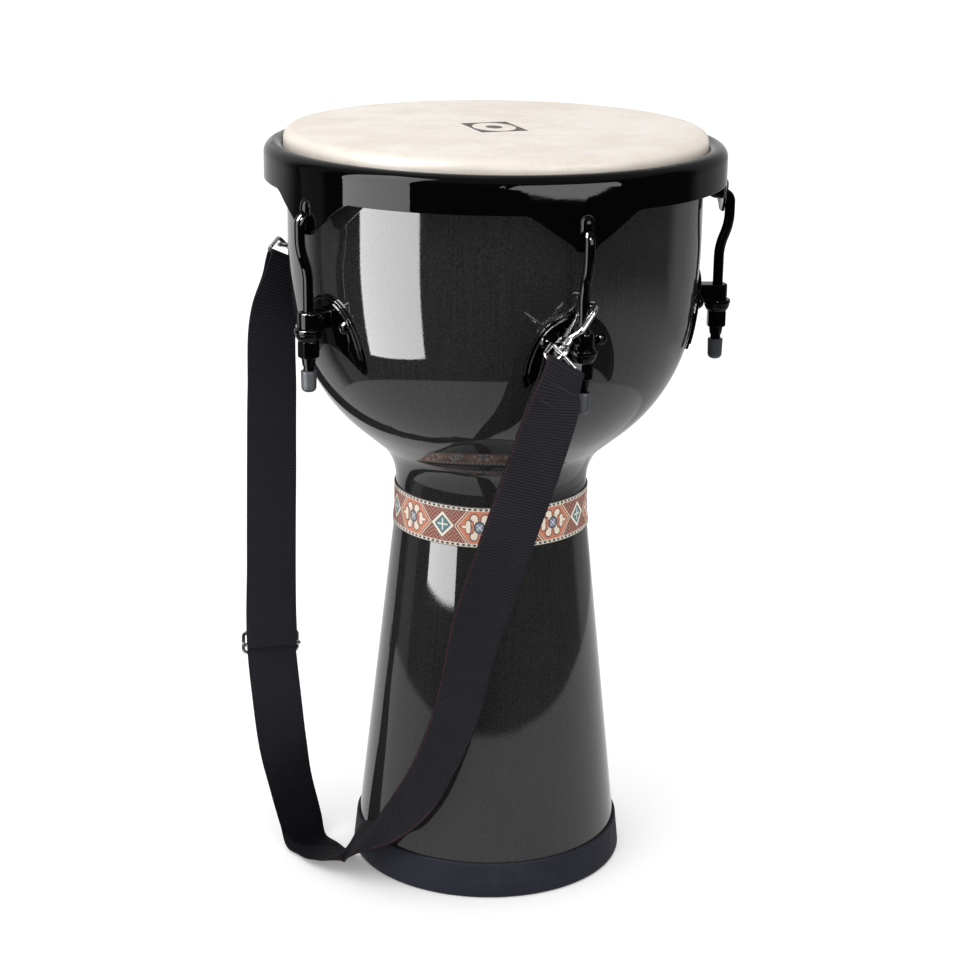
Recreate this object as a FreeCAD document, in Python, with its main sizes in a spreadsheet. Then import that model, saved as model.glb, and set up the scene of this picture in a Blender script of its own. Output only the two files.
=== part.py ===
import FreeCAD, Part
import math
import os

import Sketcher
from FreeCAD import Placement, Rotation, Vector

# A mechanically tuned djembe: a goblet shell, a goatskin head pulled down by a steel
# counterhoop, five tuning hooks with nuts under brackets on the shell, and a carrying strap.
# Millimetres. +Z is up, the origin is the centre of the foot on the floor, -Y is the front.

os.makedirs("parts", exist_ok=True)
doc = FreeCAD.newDocument("djembe")
sheet = doc.addObject("Spreadsheet::Sheet", "sizes")

SIZES = {
    # shell: foot, waist, flare, belly and side, from the floor up
    "wall": 6.5,
    "sole": 4.0,
    "foot_radius": 101.1,
    "stem_height": 276.0,
    "waist_radius": 71.3,
    "flare_height": 298.9,
    "flare_bend": 37.4,
    "slope_angle": 49.9,
    "belly_bend": 127.6,
    "side_angle": 8.33,
    "side_bend": 428.0,
    "side_height": 482.4,
    "bowl_radius": 149.6,
    "edge_height": 556.0,
    "edge_round": 5.0,
    # foot ring and waist band
    "foot_ring_height": 27.0,
    "foot_ring_radius": 103.3,
    "band_low": 264.5,
    "band_high": 294.8,
    "band_thick": 0.9,
    # head and counterhoop
    "skin_thick": 2.15,
    "collar_low": 528.0,
    "hoop_wire": 5.8,
    "rim_radius": 166.0,
    "rim_low": 523.5,
    "rim_high": 549.0,
    "rim_sheet": 2.0,
    "rim_round": 8.0,
    "ear_low": 498.5,
    "ear_half": 40.0,
    "ear_tip_half": 7.0,
    # tuning hooks, nuts, washers and rubber caps
    "lug_turn": -68.5,
    "rod_wire": 3.75,
    "rod_radius": 164.5,
    "hook_radius": 171.0,
    "bend_low": 464.0,
    "bend_high": 497.0,
    "crook_height": 511.0,
    "crook_bend": 6.0,
    "crook_tip": 156.2,
    "rod_low": 392.5,
    "cap_low": 388.0,
    "cap_high": 403.2,
    "cap_radius": 5.6,
    "nut_flats": 13.0,
    "nut_high": 424.4,
    "nut_low": 412.6,
    "nut_neck_low": 406.7,
    "nut_neck_radius": 5.2,
    "washer_high": 432.9,
    "washer_radius": 9.8,
    "running_gap": 0.06,
    "touch_gap": 0.1,
    # side plates and their fasteners
    "bracket_low": 433.0,
    "bracket_high": 444.5,
    "boss_radius": 7.2,
    "plate_thick": 2.0,
    "plate_raise": 0.8,
    "plate_half": 33.0,
    "plate_top": 455.0,
    "plate_middle": 413.0,
    "plate_tip": 402.5,
    "bolt_turn": 7.6,
    "bolt_tilt": 6.36,
    "bolt_shank": 3.0,
    "bolt_head": 4.8,
    "backing_half_width": 27.0,
    "backing_half_height": 8.0,
    "backing_thick": 2.0,
    "bolt_nut_flats": 10.0,
    "bolt_nut_thick": 5.0,
    # strap hardware
    "ring_wire": 1.5,
    "ring_base": 42.0,
    "ring_rise": 23.0,
    "ring_corner": 3.0,
    "snap_wire": 2.0,
    "snap_half": 8.0,
    "snap_eye": 5.4,
    "snap_eye_wire": 1.7,
    "snap_neck": 11.0,
    "snap_straight": 33.0,
    "gate_wire": 1.6,
    "pin_wire": 0.9,
    "web_width": 38.0,
    "web_thick": 1.8,
    "slide_wire": 1.4,
    "slide_width": 42.0,
    "slide_rise": 15.6,
}

LUGS = 5
BOLTS_PER_LUG = (-1, 1)


class Size:
    """A number together with the sheet expression that gives it."""

    def __init__(self, value, text):
        self.value = float(value)
        self.text = text

    def __add__(self, other):
        other = size_of(other)
        return Size(self.value + other.value, f"({self.text} + {other.text})")

    def __sub__(self, other):
        other = size_of(other)
        return Size(self.value - other.value, f"({self.text} - {other.text})")

    def __mul__(self, other):
        other = size_of(other)
        return Size(self.value * other.value, f"({self.text} * {other.text})")

    def __truediv__(self, other):
        other = size_of(other)
        return Size(self.value / other.value, f"({self.text} / {other.text})")

    def __radd__(self, other):
        return size_of(other) + self

    def __rsub__(self, other):
        return size_of(other) - self

    def __rmul__(self, other):
        return size_of(other) * self

    def __neg__(self):
        return size_of(0) - self


def size_of(number):
    return number if isinstance(number, Size) else Size(number, repr(float(number)))


def sine(angle):
    return Size(math.sin(math.radians(angle.value)), f"sin({angle.text})")


def cosine(angle):
    return Size(math.cos(math.radians(angle.value)), f"cos({angle.text})")


def fill_sheet():
    for row, (alias, value) in enumerate(SIZES.items(), start=1):
        sheet.set(f"A{row}", alias)
        sheet.set(f"B{row}", str(value))
        sheet.setAlias(f"B{row}", alias)
    doc.recompute()


class SheetSizes:
    def __getattr__(self, alias):
        return Size(SIZES[alias], f"sizes.{alias}")


S = SheetSizes()


# ---------------------------------------------------------------- building blocks


def bind(thing, **sizes):
    """Ties each named size of a feature to the sheet."""
    for name, size in sizes.items():
        size = size_of(size)
        setattr(thing, name, size.value)
        thing.setExpression(name, size.text)
    return thing


def new_body(label):
    body = doc.addObject("PartDesign::Body", "body_" + label)
    body.Label = label
    return body


def new_sketch(body, role, shift=None):
    """A sketch on one of the body's origin planes; shift moves it, in the plane's frame."""
    sketch = body.newObject("Sketcher::SketchObject", body.Label + "_sketch")
    plane = next(f for f in body.Origin.OriginFeatures if f.Role == role)
    sketch.AttachmentSupport = [(plane, "")]
    sketch.MapMode = "FlatFace"
    if shift:
        for axis, size in zip("xyz", shift):
            size = size_of(size)
            offset = sketch.AttachmentOffset
            setattr(offset.Base, axis, size.value)
            sketch.AttachmentOffset = offset
            sketch.setExpression(f"AttachmentOffset.Base.{axis}", size.text)
    return sketch


def constrain(sketch, kind, place, size):
    """Adds a driving constraint tied to the sheet, or puts the point on the axis for zero."""
    if kind != "Radius" and size.value == 0:
        axis = -2 if kind == "DistanceX" else -1
        sketch.addConstraint(Sketcher.Constraint("PointOnObject", *place[2:], axis))
        return
    index = sketch.addConstraint(Sketcher.Constraint(kind, *place, size.value))
    sketch.setExpression(f"Constraints[{index}]", size.text)


def arc_between(start, end, radius, turn):
    """The short arc from start to end; turn is +1 to the left and -1 to the right."""
    middle = (start + end) * 0.5
    chord = end - start
    left = Vector(-chord.y, chord.x, 0).normalize()
    rise = math.sqrt(max(radius**2 - (chord.Length / 2) ** 2, 0))
    centre = middle + left * rise * turn
    first, last = (start, end) if turn > 0 else (end, start)
    angles = [math.atan2(p.y - centre.y, p.x - centre.x) for p in (first, last)]
    if angles[1] < angles[0]:
        angles[1] += 2 * math.pi
    return Part.ArcOfCircle(Part.Circle(centre, Vector(0, 0, 1), radius), *angles)


def draw(sketch, points, closed=True):
    """Draws an outline. A point is (x, y), or (x, y, radius, turn) when an arc leaves it."""
    spots = [tuple(size_of(c) for c in p[:2]) for p in points]
    vectors = [Vector(x.value, y.value, 0) for x, y in spots]
    count = len(points) if closed else len(points) - 1
    ends = []
    for i in range(count):
        start, end = vectors[i], vectors[(i + 1) % len(points)]
        if len(points[i]) == 4:
            radius, turn = size_of(points[i][2]), points[i][3]
            edge = sketch.addGeometry(arc_between(start, end, radius.value, turn))
            ends.append((edge, 1, 2) if turn > 0 else (edge, 2, 1))
        else:
            edge = sketch.addGeometry(Part.LineSegment(start, end))
            ends.append((edge, 1, 2))
    for i in range(count if closed else count - 1):
        (edge, _, last), (after, first, _) = ends[i], ends[(i + 1) % count]
        sketch.addConstraint(Sketcher.Constraint("Coincident", edge, last, after, first))
    for i, (x, y) in enumerate(spots):
        edge, first, last = ends[i] if i < count else ends[-1]
        corner = (edge, first if i < count else last)
        constrain(sketch, "DistanceX", (-1, 1, *corner), x)
        constrain(sketch, "DistanceY", (-1, 1, *corner), y)
    for i in range(count):
        if len(points[i]) == 4:
            constrain(sketch, "Radius", (ends[i][0],), size_of(points[i][2]))
    return sketch


def draw_circle(sketch, x, y, radius):
    x, y, radius = size_of(x), size_of(y), size_of(radius)
    centre = Vector(x.value, y.value, 0)
    edge = sketch.addGeometry(Part.Circle(centre, Vector(0, 0, 1), radius.value))
    constrain(sketch, "DistanceX", (-1, 1, edge, 3), x)
    constrain(sketch, "DistanceY", (-1, 1, edge, 3), y)
    constrain(sketch, "Radius", (edge,), radius)
    return sketch


def revolve(label, points):
    """A body turned about the drum's axis from a half outline (radius, height)."""
    body = new_body(label)
    sketch = draw(new_sketch(body, "XZ_Plane"), points)
    turned = body.newObject("PartDesign::Revolution", label + "_turned")
    turned.Profile = sketch
    turned.ReferenceAxis = (sketch, ["V_Axis"])
    turned.Angle = 360
    body.Tip = turned
    return body


def pipe(label, path, wire, closed=False, plane="XZ_Plane", profile="XY_Plane", shift=None):
    """A round wire that follows a flat path; it starts square to the profile plane."""
    body = new_body(label)
    spine = draw(new_sketch(body, plane), path, closed)
    section = draw_circle(new_sketch(body, profile, shift), 0, 0, wire)
    swept = body.newObject("PartDesign::AdditivePipe", label + "_swept")
    swept.Profile = section
    swept.Spine = (spine, [])
    body.Tip = swept
    return body


def primitive(kind, label, place=None, **sizes):
    shape = doc.addObject("Part::" + kind, label)
    bind(shape, **sizes)
    if place:
        shape.Placement = place
    return shape


def combine(kind, label, *shapes):
    """Part::Cut or Part::Common of two shapes, or Part::MultiFuse of many."""
    result = doc.addObject("Part::" + kind, label)
    if kind == "MultiFuse":
        result.Shapes = list(shapes)
    else:
        result.Base, result.Tool = shapes
    result.Label = label
    return result


def at_lug(index):
    """Turns a piece drawn on the +X axis to its lug."""
    turn = SIZES["lug_turn"] + index * 360 / LUGS
    return Placement(Vector(), Rotation(Vector(0, 0, 1), turn))


def frame_on(origin, along_x, along_z):
    """A placement with +Z exactly along one direction and +X near another."""
    z = Vector(along_z).normalize()
    x = (Vector(along_x) - z * Vector(along_x).dot(z)).normalize()
    y = z.cross(x)
    turn = FreeCAD.Matrix(x.x, y.x, z.x, 0, x.y, y.y, z.y, 0, x.z, y.z, z.z, 0, 0, 0, 0, 1)
    return Placement(Vector(origin), Placement(turn).Rotation)


# ---------------------------------------------------------------- shell and its trim


def bowl_centres():
    """Centres of the side, belly and flare arcs, as (radius, height)."""
    side = (S.bowl_radius - S.side_bend, S.side_height)
    reach = S.side_bend - S.belly_bend
    belly = (side[0] + reach * cosine(S.side_angle), side[1] - reach * sine(S.side_angle))
    flare = (S.waist_radius + S.flare_bend, S.flare_height)
    return side, belly, flare


def bowl_line(out):
    """The bowl's outline moved outwards, from the top of the side arc to the waist."""
    side, belly, flare = bowl_centres()
    side_r, belly_r, flare_r = S.side_bend + out, S.belly_bend + out, S.flare_bend - out
    steep, shallow = S.side_angle, S.slope_angle
    return [
        (S.bowl_radius + out, S.side_height, side_r, -1),
        (side[0] + side_r * cosine(steep), side[1] - side_r * sine(steep), belly_r, -1),
        (belly[0] + belly_r * cosine(shallow), belly[1] - belly_r * sine(shallow)),
        (flare[0] - flare_r * cosine(shallow), flare[1] + flare_r * sine(shallow), flare_r, 1),
        (S.waist_radius + out, S.flare_height),
    ]


def turned_back(line):
    """The same outline walked the other way."""
    corners = [p[:2] for p in line][::-1]
    arcs = [p[2:] for p in line][::-1][1:] + [()]
    return [(*c, *((a[0], -a[1]) if a else ())) for c, a in zip(corners, arcs)]


def make_shell():
    outer = bowl_line(size_of(0))
    inner = bowl_line(-S.wall)
    outline = [(S.bowl_radius, S.edge_height - S.edge_round), *outer]
    outline += [(S.waist_radius, S.stem_height), (S.foot_radius, S.sole)]
    outline += [(S.foot_radius - S.wall, S.sole), (S.waist_radius - S.wall, S.stem_height)]
    outline += turned_back(inner)
    outline += [(S.bowl_radius - S.wall, S.edge_height - S.edge_round)]
    outline += [(S.bowl_radius - S.edge_round, S.edge_height, S.edge_round, -1)]
    body = revolve("shell_turned", outline)
    holes = combine("MultiFuse", "shell_holes", *bolt_cylinders("shell_hole"))
    shell = combine("Cut", "shell", body, holes)
    shell.Placement = at_lug(0)
    return shell


def stem_radius(height, out):
    """The stem's radius at a height, moved outwards."""
    rise = (S.stem_height - height) / (S.stem_height - S.sole)
    return S.waist_radius + (S.foot_radius - S.waist_radius) * rise + out


def make_foot_ring():
    top, lip = S.foot_ring_height, 8.0
    return revolve(
        "foot_ring",
        [
            (S.foot_radius - lip, 0),
            (S.foot_ring_radius - 2.5, 0, 2.5, 1),
            (S.foot_ring_radius, 2.5),
            (stem_radius(top, 2.1), top - 1.2, 1.2, 1),
            (stem_radius(top, 0.9), top),
            (stem_radius(top, S.touch_gap), top),
            (stem_radius(S.sole, S.touch_gap), S.sole - S.touch_gap),
            (S.foot_radius - lip, S.sole - S.touch_gap),
        ],
    )


def make_waist_band():
    low, high, out = S.band_low, S.band_high, S.touch_gap
    return revolve(
        "waist_band",
        [
            (stem_radius(low, out), low),
            (stem_radius(low, out + S.band_thick), low),
            (S.waist_radius + out + S.band_thick, S.stem_height),
            (S.waist_radius + out + S.band_thick, high),
            (S.waist_radius + out, high),
            (S.waist_radius + out, S.stem_height),
        ],
    )


# ---------------------------------------------------------------- head and counterhoop


def make_skin():
    gap, thick = 0.15, S.skin_thick
    inner, outer = S.bowl_radius + gap, S.bowl_radius + gap + thick
    low, fold = S.collar_low, 1.3
    bend = S.edge_round + gap
    pocket_in = outer + 0.5
    pocket_out = pocket_in + S.hoop_wire + 0.6
    pocket_high = low + fold + S.hoop_wire + 0.4
    start = S.edge_height - S.edge_round
    return revolve(
        "drumhead_skin",
        [
            (0, S.edge_height + gap),
            (S.bowl_radius - S.edge_round, S.edge_height + gap, bend, -1),
            (inner, start),
            (inner, low),
            (pocket_out + fold, low),
            (pocket_out + fold, pocket_high + fold),
            (pocket_in + 1.2, pocket_high + fold),
            (pocket_in + 1.2, pocket_high),
            (pocket_out, pocket_high),
            (pocket_out, low + fold),
            (outer, low + fold),
            (outer, start, bend + thick, 1),
            (S.bowl_radius - S.edge_round, S.edge_height + gap + thick),
            (0, S.edge_height + gap + thick),
        ],
    )


def make_flesh_hoop():
    inner = S.bowl_radius + S.skin_thick + 0.9
    low = S.collar_low + 1.5
    side = S.hoop_wire
    return revolve(
        "flesh_hoop",
        [(inner, low), (inner + side, low), (inner + side, low + side), (inner, low + side)],
    )


def make_rim_profile():
    sheet_t, top, low = S.rim_sheet, S.rim_high, S.rim_low
    outer, bend = S.rim_radius, S.rim_round
    leg = S.bowl_radius + S.skin_thick + 0.45
    leg_low = S.collar_low + 10.1
    return revolve(
        "counterhoop_turned",
        [
            (outer, low),
            (outer, top - bend, bend, 1),
            (outer - bend, top, bend, 1),
            (leg, top - 2.7),
            (leg, leg_low),
            (leg + sheet_t, leg_low),
            (leg + sheet_t, top - 3.6, bend - sheet_t, -1),
            (outer - bend, top - sheet_t, bend - sheet_t, -1),
            (outer - sheet_t, top - bend),
            (outer - sheet_t, low),
        ],
    )


def ear_outline():
    """Half of a pointed ear, mirrored: wide at the skirt, a narrow rounded tip below."""
    wide, tip, low, top = S.ear_half, S.ear_tip_half, S.ear_low, S.rim_low
    left = [
        (-wide - 4, top + 2),
        (-wide - 4, top + 0.2, 16.0, -1),
        (-wide + 4, top - 2.4),
        (-tip - 1.2, low + 3.2, 4.5, 1),
        (-tip + 2.6, low),
    ]
    right = [(-p[0], p[1]) for p in left][::-1]
    right[0] = (*right[0], 4.5, 1)
    right[2] = (*right[2], 16.0, -1)
    return left + right


def make_ear(index):
    """One ear, with the hood and the hole that take the hook, and the fluted tip."""
    label = f"ear_{index + 1}"
    wall = primitive("Cylinder", label + "_wall", Radius=S.rim_radius, Height=30)
    core = primitive("Cylinder", label + "_core", Radius=S.rim_radius - S.rim_sheet, Height=30)
    for part in (wall, core):
        part.Placement = Placement(Vector(0, 0, SIZES["ear_low"] - 2), Rotation())
        part.setExpression("Placement.Base.z", "sizes.ear_low - 2")
    ring = combine("Cut", label + "_ring", wall, core)
    body = new_body(label + "_outline")
    sketch = draw(new_sketch(body, "YZ_Plane"), ear_outline())
    pad = body.newObject("PartDesign::Pad", label + "_pad")
    pad.Profile = sketch
    bind(pad, Length=S.rim_radius + 10)
    body.Tip = pad
    blade = combine("Common", label + "_blade", ring, body)
    hood_x, hood_r = SIZES["rim_radius"] - 1.6, 5.0
    crook = SIZES["crook_height"]
    hood = primitive("Cylinder", label + "_hood", Radius=hood_r, Height=6.2)
    hood.Placement = Placement(Vector(hood_x, 0, crook + 0.8), Rotation())
    dome = primitive("Sphere", label + "_dome", Radius=hood_r)
    dome.Placement = Placement(Vector(hood_x, 0, crook + 7), Rotation())
    flute = primitive("Cone", label + "_flute", Radius1=4.2, Radius2=1.4, Height=8.0)
    flute.Placement = Placement(Vector(SIZES["rim_radius"] - 3.2, 0, SIZES["ear_low"]), Rotation())
    solid = combine("MultiFuse", label + "_solid", blade, hood, dome, flute)
    hole = primitive("Cylinder", label + "_hole", Radius=S.rod_wire + 0.35, Height=16)
    sideways = Rotation(Vector(0, 1, 0), 90)
    hole.Placement = Placement(Vector(SIZES["rim_radius"] - 10, 0, crook), sideways)
    throat = primitive("Cylinder", label + "_throat", Radius=S.rod_wire + 0.35, Height=20)
    throat.Placement = Placement(Vector(SIZES["hook_radius"], 0, crook - 26), Rotation())
    hollow = combine("MultiFuse", label + "_hollow", core, hole, throat)
    ear = combine("Cut", label, solid, hollow)
    ear.Placement = Placement(Vector(), Rotation(Vector(0, 0, 1), index * 360 / LUGS))
    return ear


def make_counterhoop():
    rim = make_rim_profile()
    ears = [make_ear(index) for index in range(LUGS)]
    hoop = combine("MultiFuse", "counterhoop", rim, *ears)
    hoop.Refine = True
    hoop.Placement = at_lug(0)
    return hoop


# ---------------------------------------------------------------- lugs


def make_hook(index):
    """A bent rod: straight through the nut, stepped outwards, then hooked into the ear."""
    across = S.hook_radius - S.rod_radius
    along = S.bend_high - S.bend_low
    bend = (across * across + along * along) / (4 * across)
    middle = (S.rod_radius + across / 2, S.bend_low + along / 2)
    crook, top, inner = S.crook_bend, S.crook_height, S.crook_tip
    path = [
        (S.rod_radius, S.rod_low),
        (S.rod_radius, S.bend_low, bend, -1),
        (*middle, bend, 1),
        (S.hook_radius, S.bend_high),
        (S.hook_radius, top - crook, crook, 1),
        (S.hook_radius - crook, top),
        (inner + 5, top, 5.0, -1),
        (inner, top + 5),
        (inner, top + 9.5),
    ]
    hook = pipe(
        f"tuning_hook_{index + 1}",
        path,
        S.rod_wire,
        shift=(S.rod_radius, 0, S.rod_low),
    )
    hook.Placement = at_lug(index)
    return hook


def turned_on_rod(label, points, index):
    """A round piece on the rod, drawn about the Z axis and moved out to the rod."""
    body = revolve(label, points)
    place = at_lug(index)
    body.Placement = place.multiply(Placement(Vector(SIZES["rod_radius"], 0, 0), Rotation()))
    return body


def make_cap(index):
    bore, out, low, high = S.rod_wire + 0.03, S.cap_radius, S.cap_low, S.cap_high
    points = [
        (0, low),
        (out - 3.4, low, 3.6, 1),
        (out - 0.3, low + 3.4),
        (out, high - 0.8, 0.8, 1),
        (out - 0.8, high),
        (bore, high),
        (bore, S.rod_low - S.touch_gap),
        (0, S.rod_low - S.touch_gap),
    ]
    return turned_on_rod(f"rod_cap_{index + 1}", points, index)


def make_washer(index):
    bore, out, high = S.rod_wire + 0.35, S.washer_radius, S.washer_high
    low = S.nut_high + S.touch_gap
    points = [
        (bore, low),
        (out - 2.6, low, 9.0, 1),
        (out - 0.4, high - 3.2),
        (out, high - 2.6),
        (out, high - 0.5),
        (out - 0.5, high),
        (bore, high),
    ]
    return turned_on_rod(f"domed_washer_{index + 1}", points, index)


def make_nut(index):
    """A hexagon with rounded corners and a tapered neck below it."""
    label = f"tuning_nut_{index + 1}"
    bore, low, high = S.rod_wire + S.running_gap, S.nut_low, S.nut_high
    corner = S.nut_flats / 2 * (2 / math.sqrt(3))
    neck = S.nut_neck_radius
    round_body = revolve(
        label + "_round",
        [
            (bore, S.nut_neck_low),
            (neck - 0.8, S.nut_neck_low),
            (neck, low),
            (corner - 0.9, low),
            (corner, low + 0.7),
            (corner, high - 0.7),
            (corner - 0.9, high),
            (bore, high),
        ],
    )
    hexagon = primitive("Prism", label + "_hexagon", Circumradius=corner, Height=high - low)
    hexagon.Polygon = 6
    hexagon.Placement = Placement(Vector(0, 0, SIZES["nut_low"]), Rotation(Vector(0, 0, 1), 30))
    hexagon.setExpression("Placement.Base.z", "sizes.nut_low")
    sleeve = primitive("Cylinder", label + "_neck", Radius=neck, Height=low - S.nut_neck_low + 1)
    sleeve.Placement = Placement(Vector(0, 0, SIZES["nut_neck_low"]), Rotation())
    sleeve.setExpression("Placement.Base.z", "sizes.nut_neck_low")
    blank = combine("MultiFuse", label + "_blank", hexagon, sleeve)
    nut = combine("Common", label, round_body, blank)
    nut.Placement = at_lug(index).multiply(Placement(Vector(SIZES["rod_radius"], 0, 0), Rotation()))
    return nut


def bolt_frame(side, out):
    """Where a plate bolt crosses the bowl's surface moved outwards, +Z pointing outwards."""
    tilt = math.radians(SIZES["bolt_tilt"])
    reach = SIZES["side_bend"] + out
    middle = Vector(SIZES["bowl_radius"] - SIZES["side_bend"], 0, SIZES["side_height"])
    away = Vector(math.cos(tilt), 0, -math.sin(tilt))
    spin = Placement(Vector(), Rotation(Vector(0, 0, 1), side * SIZES["bolt_turn"]))
    return spin.multiply(frame_on(middle + away * reach, Vector(0, 1, 0), away))


def bolt_cylinders(label, lugs=range(LUGS)):
    """Clearance cylinders for the plate bolts, through the wall and both plates."""
    cylinders = []
    for index in lugs:
        for side in BOLTS_PER_LUG:
            hole = primitive("Cylinder", label, Radius=S.bolt_shank + 0.15, Height=30)
            spin = Placement(Vector(), Rotation(Vector(0, 0, 1), index * 360 / LUGS))
            hole.Placement = spin.multiply(bolt_frame(side, -20))
            cylinders.append(hole)
    return cylinders


def bowl_layer(label, near, far):
    """A thin layer that follows the bowl, between two distances from its surface."""
    outline = bowl_line(far)[:3] + turned_back(bowl_line(near)[:3])
    outline[2] = outline[2][:2]
    return revolve(label, outline)


def padded_outline(label, points):
    """A flat outline in the (sideways, height) plane, pushed out through the bowl's wall."""
    body = new_body(label)
    sketch = draw(new_sketch(body, "YZ_Plane"), points)
    pad = body.newObject("PartDesign::Pad", label + "_pad")
    pad.Profile = sketch
    bind(pad, Length=S.rim_radius)
    body.Tip = pad
    return body


def crescent_points(inset):
    """A half moon: an arched top edge and a hollow lower edge between two tips."""
    half, top = S.plate_half - inset, S.plate_top - inset
    middle, tip = S.plate_middle, S.plate_tip + inset * 1.2
    shoulder, arch = half * 0.72, top - (top - middle) * 0.31
    return [
        (-half + 1.2, tip, 30.0, -1),
        (-half, middle, 62.0, -1),
        (-shoulder, arch, 34.0, -1),
        (0, top, 34.0, -1),
        (shoulder, arch, 62.0, -1),
        (half, middle, 30.0, -1),
        (half - 1.2, tip, 2.0, -1),
        (half - 3.4, tip, 40.0, 1),
        (0, middle + 6, 40.0, 1),
        (-half + 3.4, tip, 2.0, -1),
    ]


def make_side_plate(index):
    """The crescent plate with its raised middle and the bracket arm welded to it."""
    label = f"side_plate_{index + 1}"
    near, thick, raised = S.touch_gap, S.plate_thick, S.plate_raise
    base = combine(
        "Common",
        label + "_base",
        bowl_layer(label + "_layer", near, near + thick),
        padded_outline(label + "_outline", crescent_points(0)),
    )
    field = combine(
        "Common",
        label + "_field",
        bowl_layer(label + "_raised_layer", near + thick - 0.5, near + thick + raised),
        padded_outline(label + "_raised_outline", crescent_points(2.6)),
    )
    low, tall = S.bracket_low, S.bracket_high - S.bracket_low
    boss = primitive("Cylinder", label + "_boss", Radius=S.boss_radius, Height=tall)
    boss.Placement = Placement(Vector(SIZES["rod_radius"], 0, SIZES["bracket_low"]), Rotation())
    boss.setExpression("Placement.Base.z", low.text)
    arm_start = 149.0
    arm = primitive(
        "Box",
        label + "_arm",
        Length=S.rod_radius - arm_start,
        Width=S.boss_radius * 2,
        Height=tall,
    )
    corner = Vector(arm_start, -SIZES["boss_radius"], SIZES["bracket_low"])
    arm.Placement = Placement(corner, Rotation())
    bracket = combine("MultiFuse", label + "_bracket", boss, arm)
    bracket.Refine = True
    doc.recompute()
    rounded = doc.addObject("Part::Fillet", label + "_rounded")
    rounded.Base = bracket
    rounded.Edges = [(number, 1.4, 1.4) for number in flat_top_edges(bracket.Shape)]
    bore = primitive("Cylinder", label + "_bore", Radius=S.rod_wire + 0.35, Height=tall + 2)
    bore.Placement = Placement(Vector(SIZES["rod_radius"], 0, SIZES["bracket_low"] - 1), Rotation())
    tools = combine("MultiFuse", label + "_tools", bore, *bolt_cylinders(label + "_hole", [0]))
    solid = combine("MultiFuse", label + "_solid", base, field, rounded)
    plate = combine("Cut", label, solid, tools)
    plate.Placement = at_lug(index)
    return plate


def flat_top_edges(shape):
    """Numbers of the edges that lie along the top of the bracket, away from the plate."""
    top = shape.BoundBox.ZMax
    numbers = []
    for number, edge in enumerate(shape.Edges, start=1):
        box = edge.BoundBox
        if abs(box.ZMin - top) < 0.01 and box.XMax > shape.BoundBox.XMin + 1:
            numbers.append(number)
    return numbers


def make_backing_plate(index):
    label = f"backing_plate_{index + 1}"
    far = -S.wall - S.touch_gap
    wide, tall = S.backing_half_width, S.backing_half_height
    middle = S.side_height - S.side_bend * sine(S.bolt_tilt)
    outline = [
        (-wide, middle - tall),
        (wide, middle - tall),
        (wide, middle + tall),
        (-wide, middle + tall),
    ]
    strip = combine(
        "Common",
        label + "_strip",
        bowl_layer(label + "_layer", far - S.backing_thick, far),
        padded_outline(label + "_outline", outline),
    )
    holes = combine("MultiFuse", label + "_holes", *bolt_cylinders(label + "_hole", [0]))
    plate = combine("Cut", label, strip, holes)
    plate.Placement = at_lug(index)
    return plate


def make_bolt_blank():
    """A button-head bolt on the Z axis, its head's seat at height 0, the shank below."""
    reach = S.wall + S.plate_thick + S.plate_raise + S.backing_thick + S.bolt_nut_thick + 3
    shank = primitive("Cylinder", "bolt_shank", Radius=S.bolt_shank, Height=reach)
    shank.Placement = Placement(Vector(0, 0, -reach.value), Rotation())
    shank.setExpression("Placement.Base.z", (-reach).text)
    head = revolve(
        "bolt_head",
        [
            (0, -0.5),
            (S.bolt_shank, -0.5),
            (S.bolt_shank, 0),
            (S.bolt_head, 0),
            (S.bolt_head, 0.5, 6.0, 1),
            (1.9, 3.0),
            (0, 3.0),
        ],
    )
    socket = primitive("Prism", "bolt_socket", Circumradius=2.0, Height=2)
    socket.Placement = Placement(Vector(0, 0, 1.6), Rotation())
    blank = combine("MultiFuse", "bolt_solid", shank, head)
    return combine("Cut", "bolt_blank", blank, socket)


def make_nut_blank():
    """A thin hexagon nut on the Z axis, its seat at height 0, the nut below."""
    corner = S.bolt_nut_flats / math.sqrt(3)
    prism = primitive("Prism", "small_nut_prism", Circumradius=corner, Height=S.bolt_nut_thick)
    prism.Placement = Placement(Vector(0, 0, -SIZES["bolt_nut_thick"]), Rotation())
    hole = primitive("Cylinder", "small_nut_hole", Radius=S.bolt_shank + 0.06, Height=12)
    hole.Placement = Placement(Vector(0, 0, -10), Rotation())
    return combine("Cut", "small_nut_blank", prism, hole)


def group_at_bolts(label, blank, out):
    """Ten copies of a blank, one at each plate bolt, at a distance from the bowl."""
    doc.recompute()
    copies = []
    for index in range(LUGS):
        for side in BOLTS_PER_LUG:
            copy = doc.addObject("Part::Feature", f"{label}_copy")
            copy.Shape = blank.Shape.copy()
            copy.Placement = at_lug(index).multiply(bolt_frame(side, out))
            copies.append(copy)
    group = doc.addObject("Part::Compound", label)
    group.Links = copies
    group.Label = label
    return group


# ---------------------------------------------------------------- strap hardware

# Local lug frame: (outwards, sideways, height). Where each snap hook's eye is, and where
# its loop goes round the rod.
FRONT_LUG, BACK_LUG = 0, 3
SNAPS = {
    "front": (FRONT_LUG, Vector(172.0, -19.5, 433.5), Vector(163.0, 0, 453.5)),
    "back": (BACK_LUG, Vector(172.0, 24.0, 456.0), Vector(163.8, 0, 451.5)),
}
# The rings' base and rise directions, in the drum's frame.
RINGS = {
    "front": (Vector(0.665, 0.565, -0.49), Vector(-0.33, 0.81, 0.49)),
    "back": (Vector(0.653, 0.637, -0.41), Vector(-0.348, 0.731, 0.582)),
}
RING_SLIP = 8.4


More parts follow.
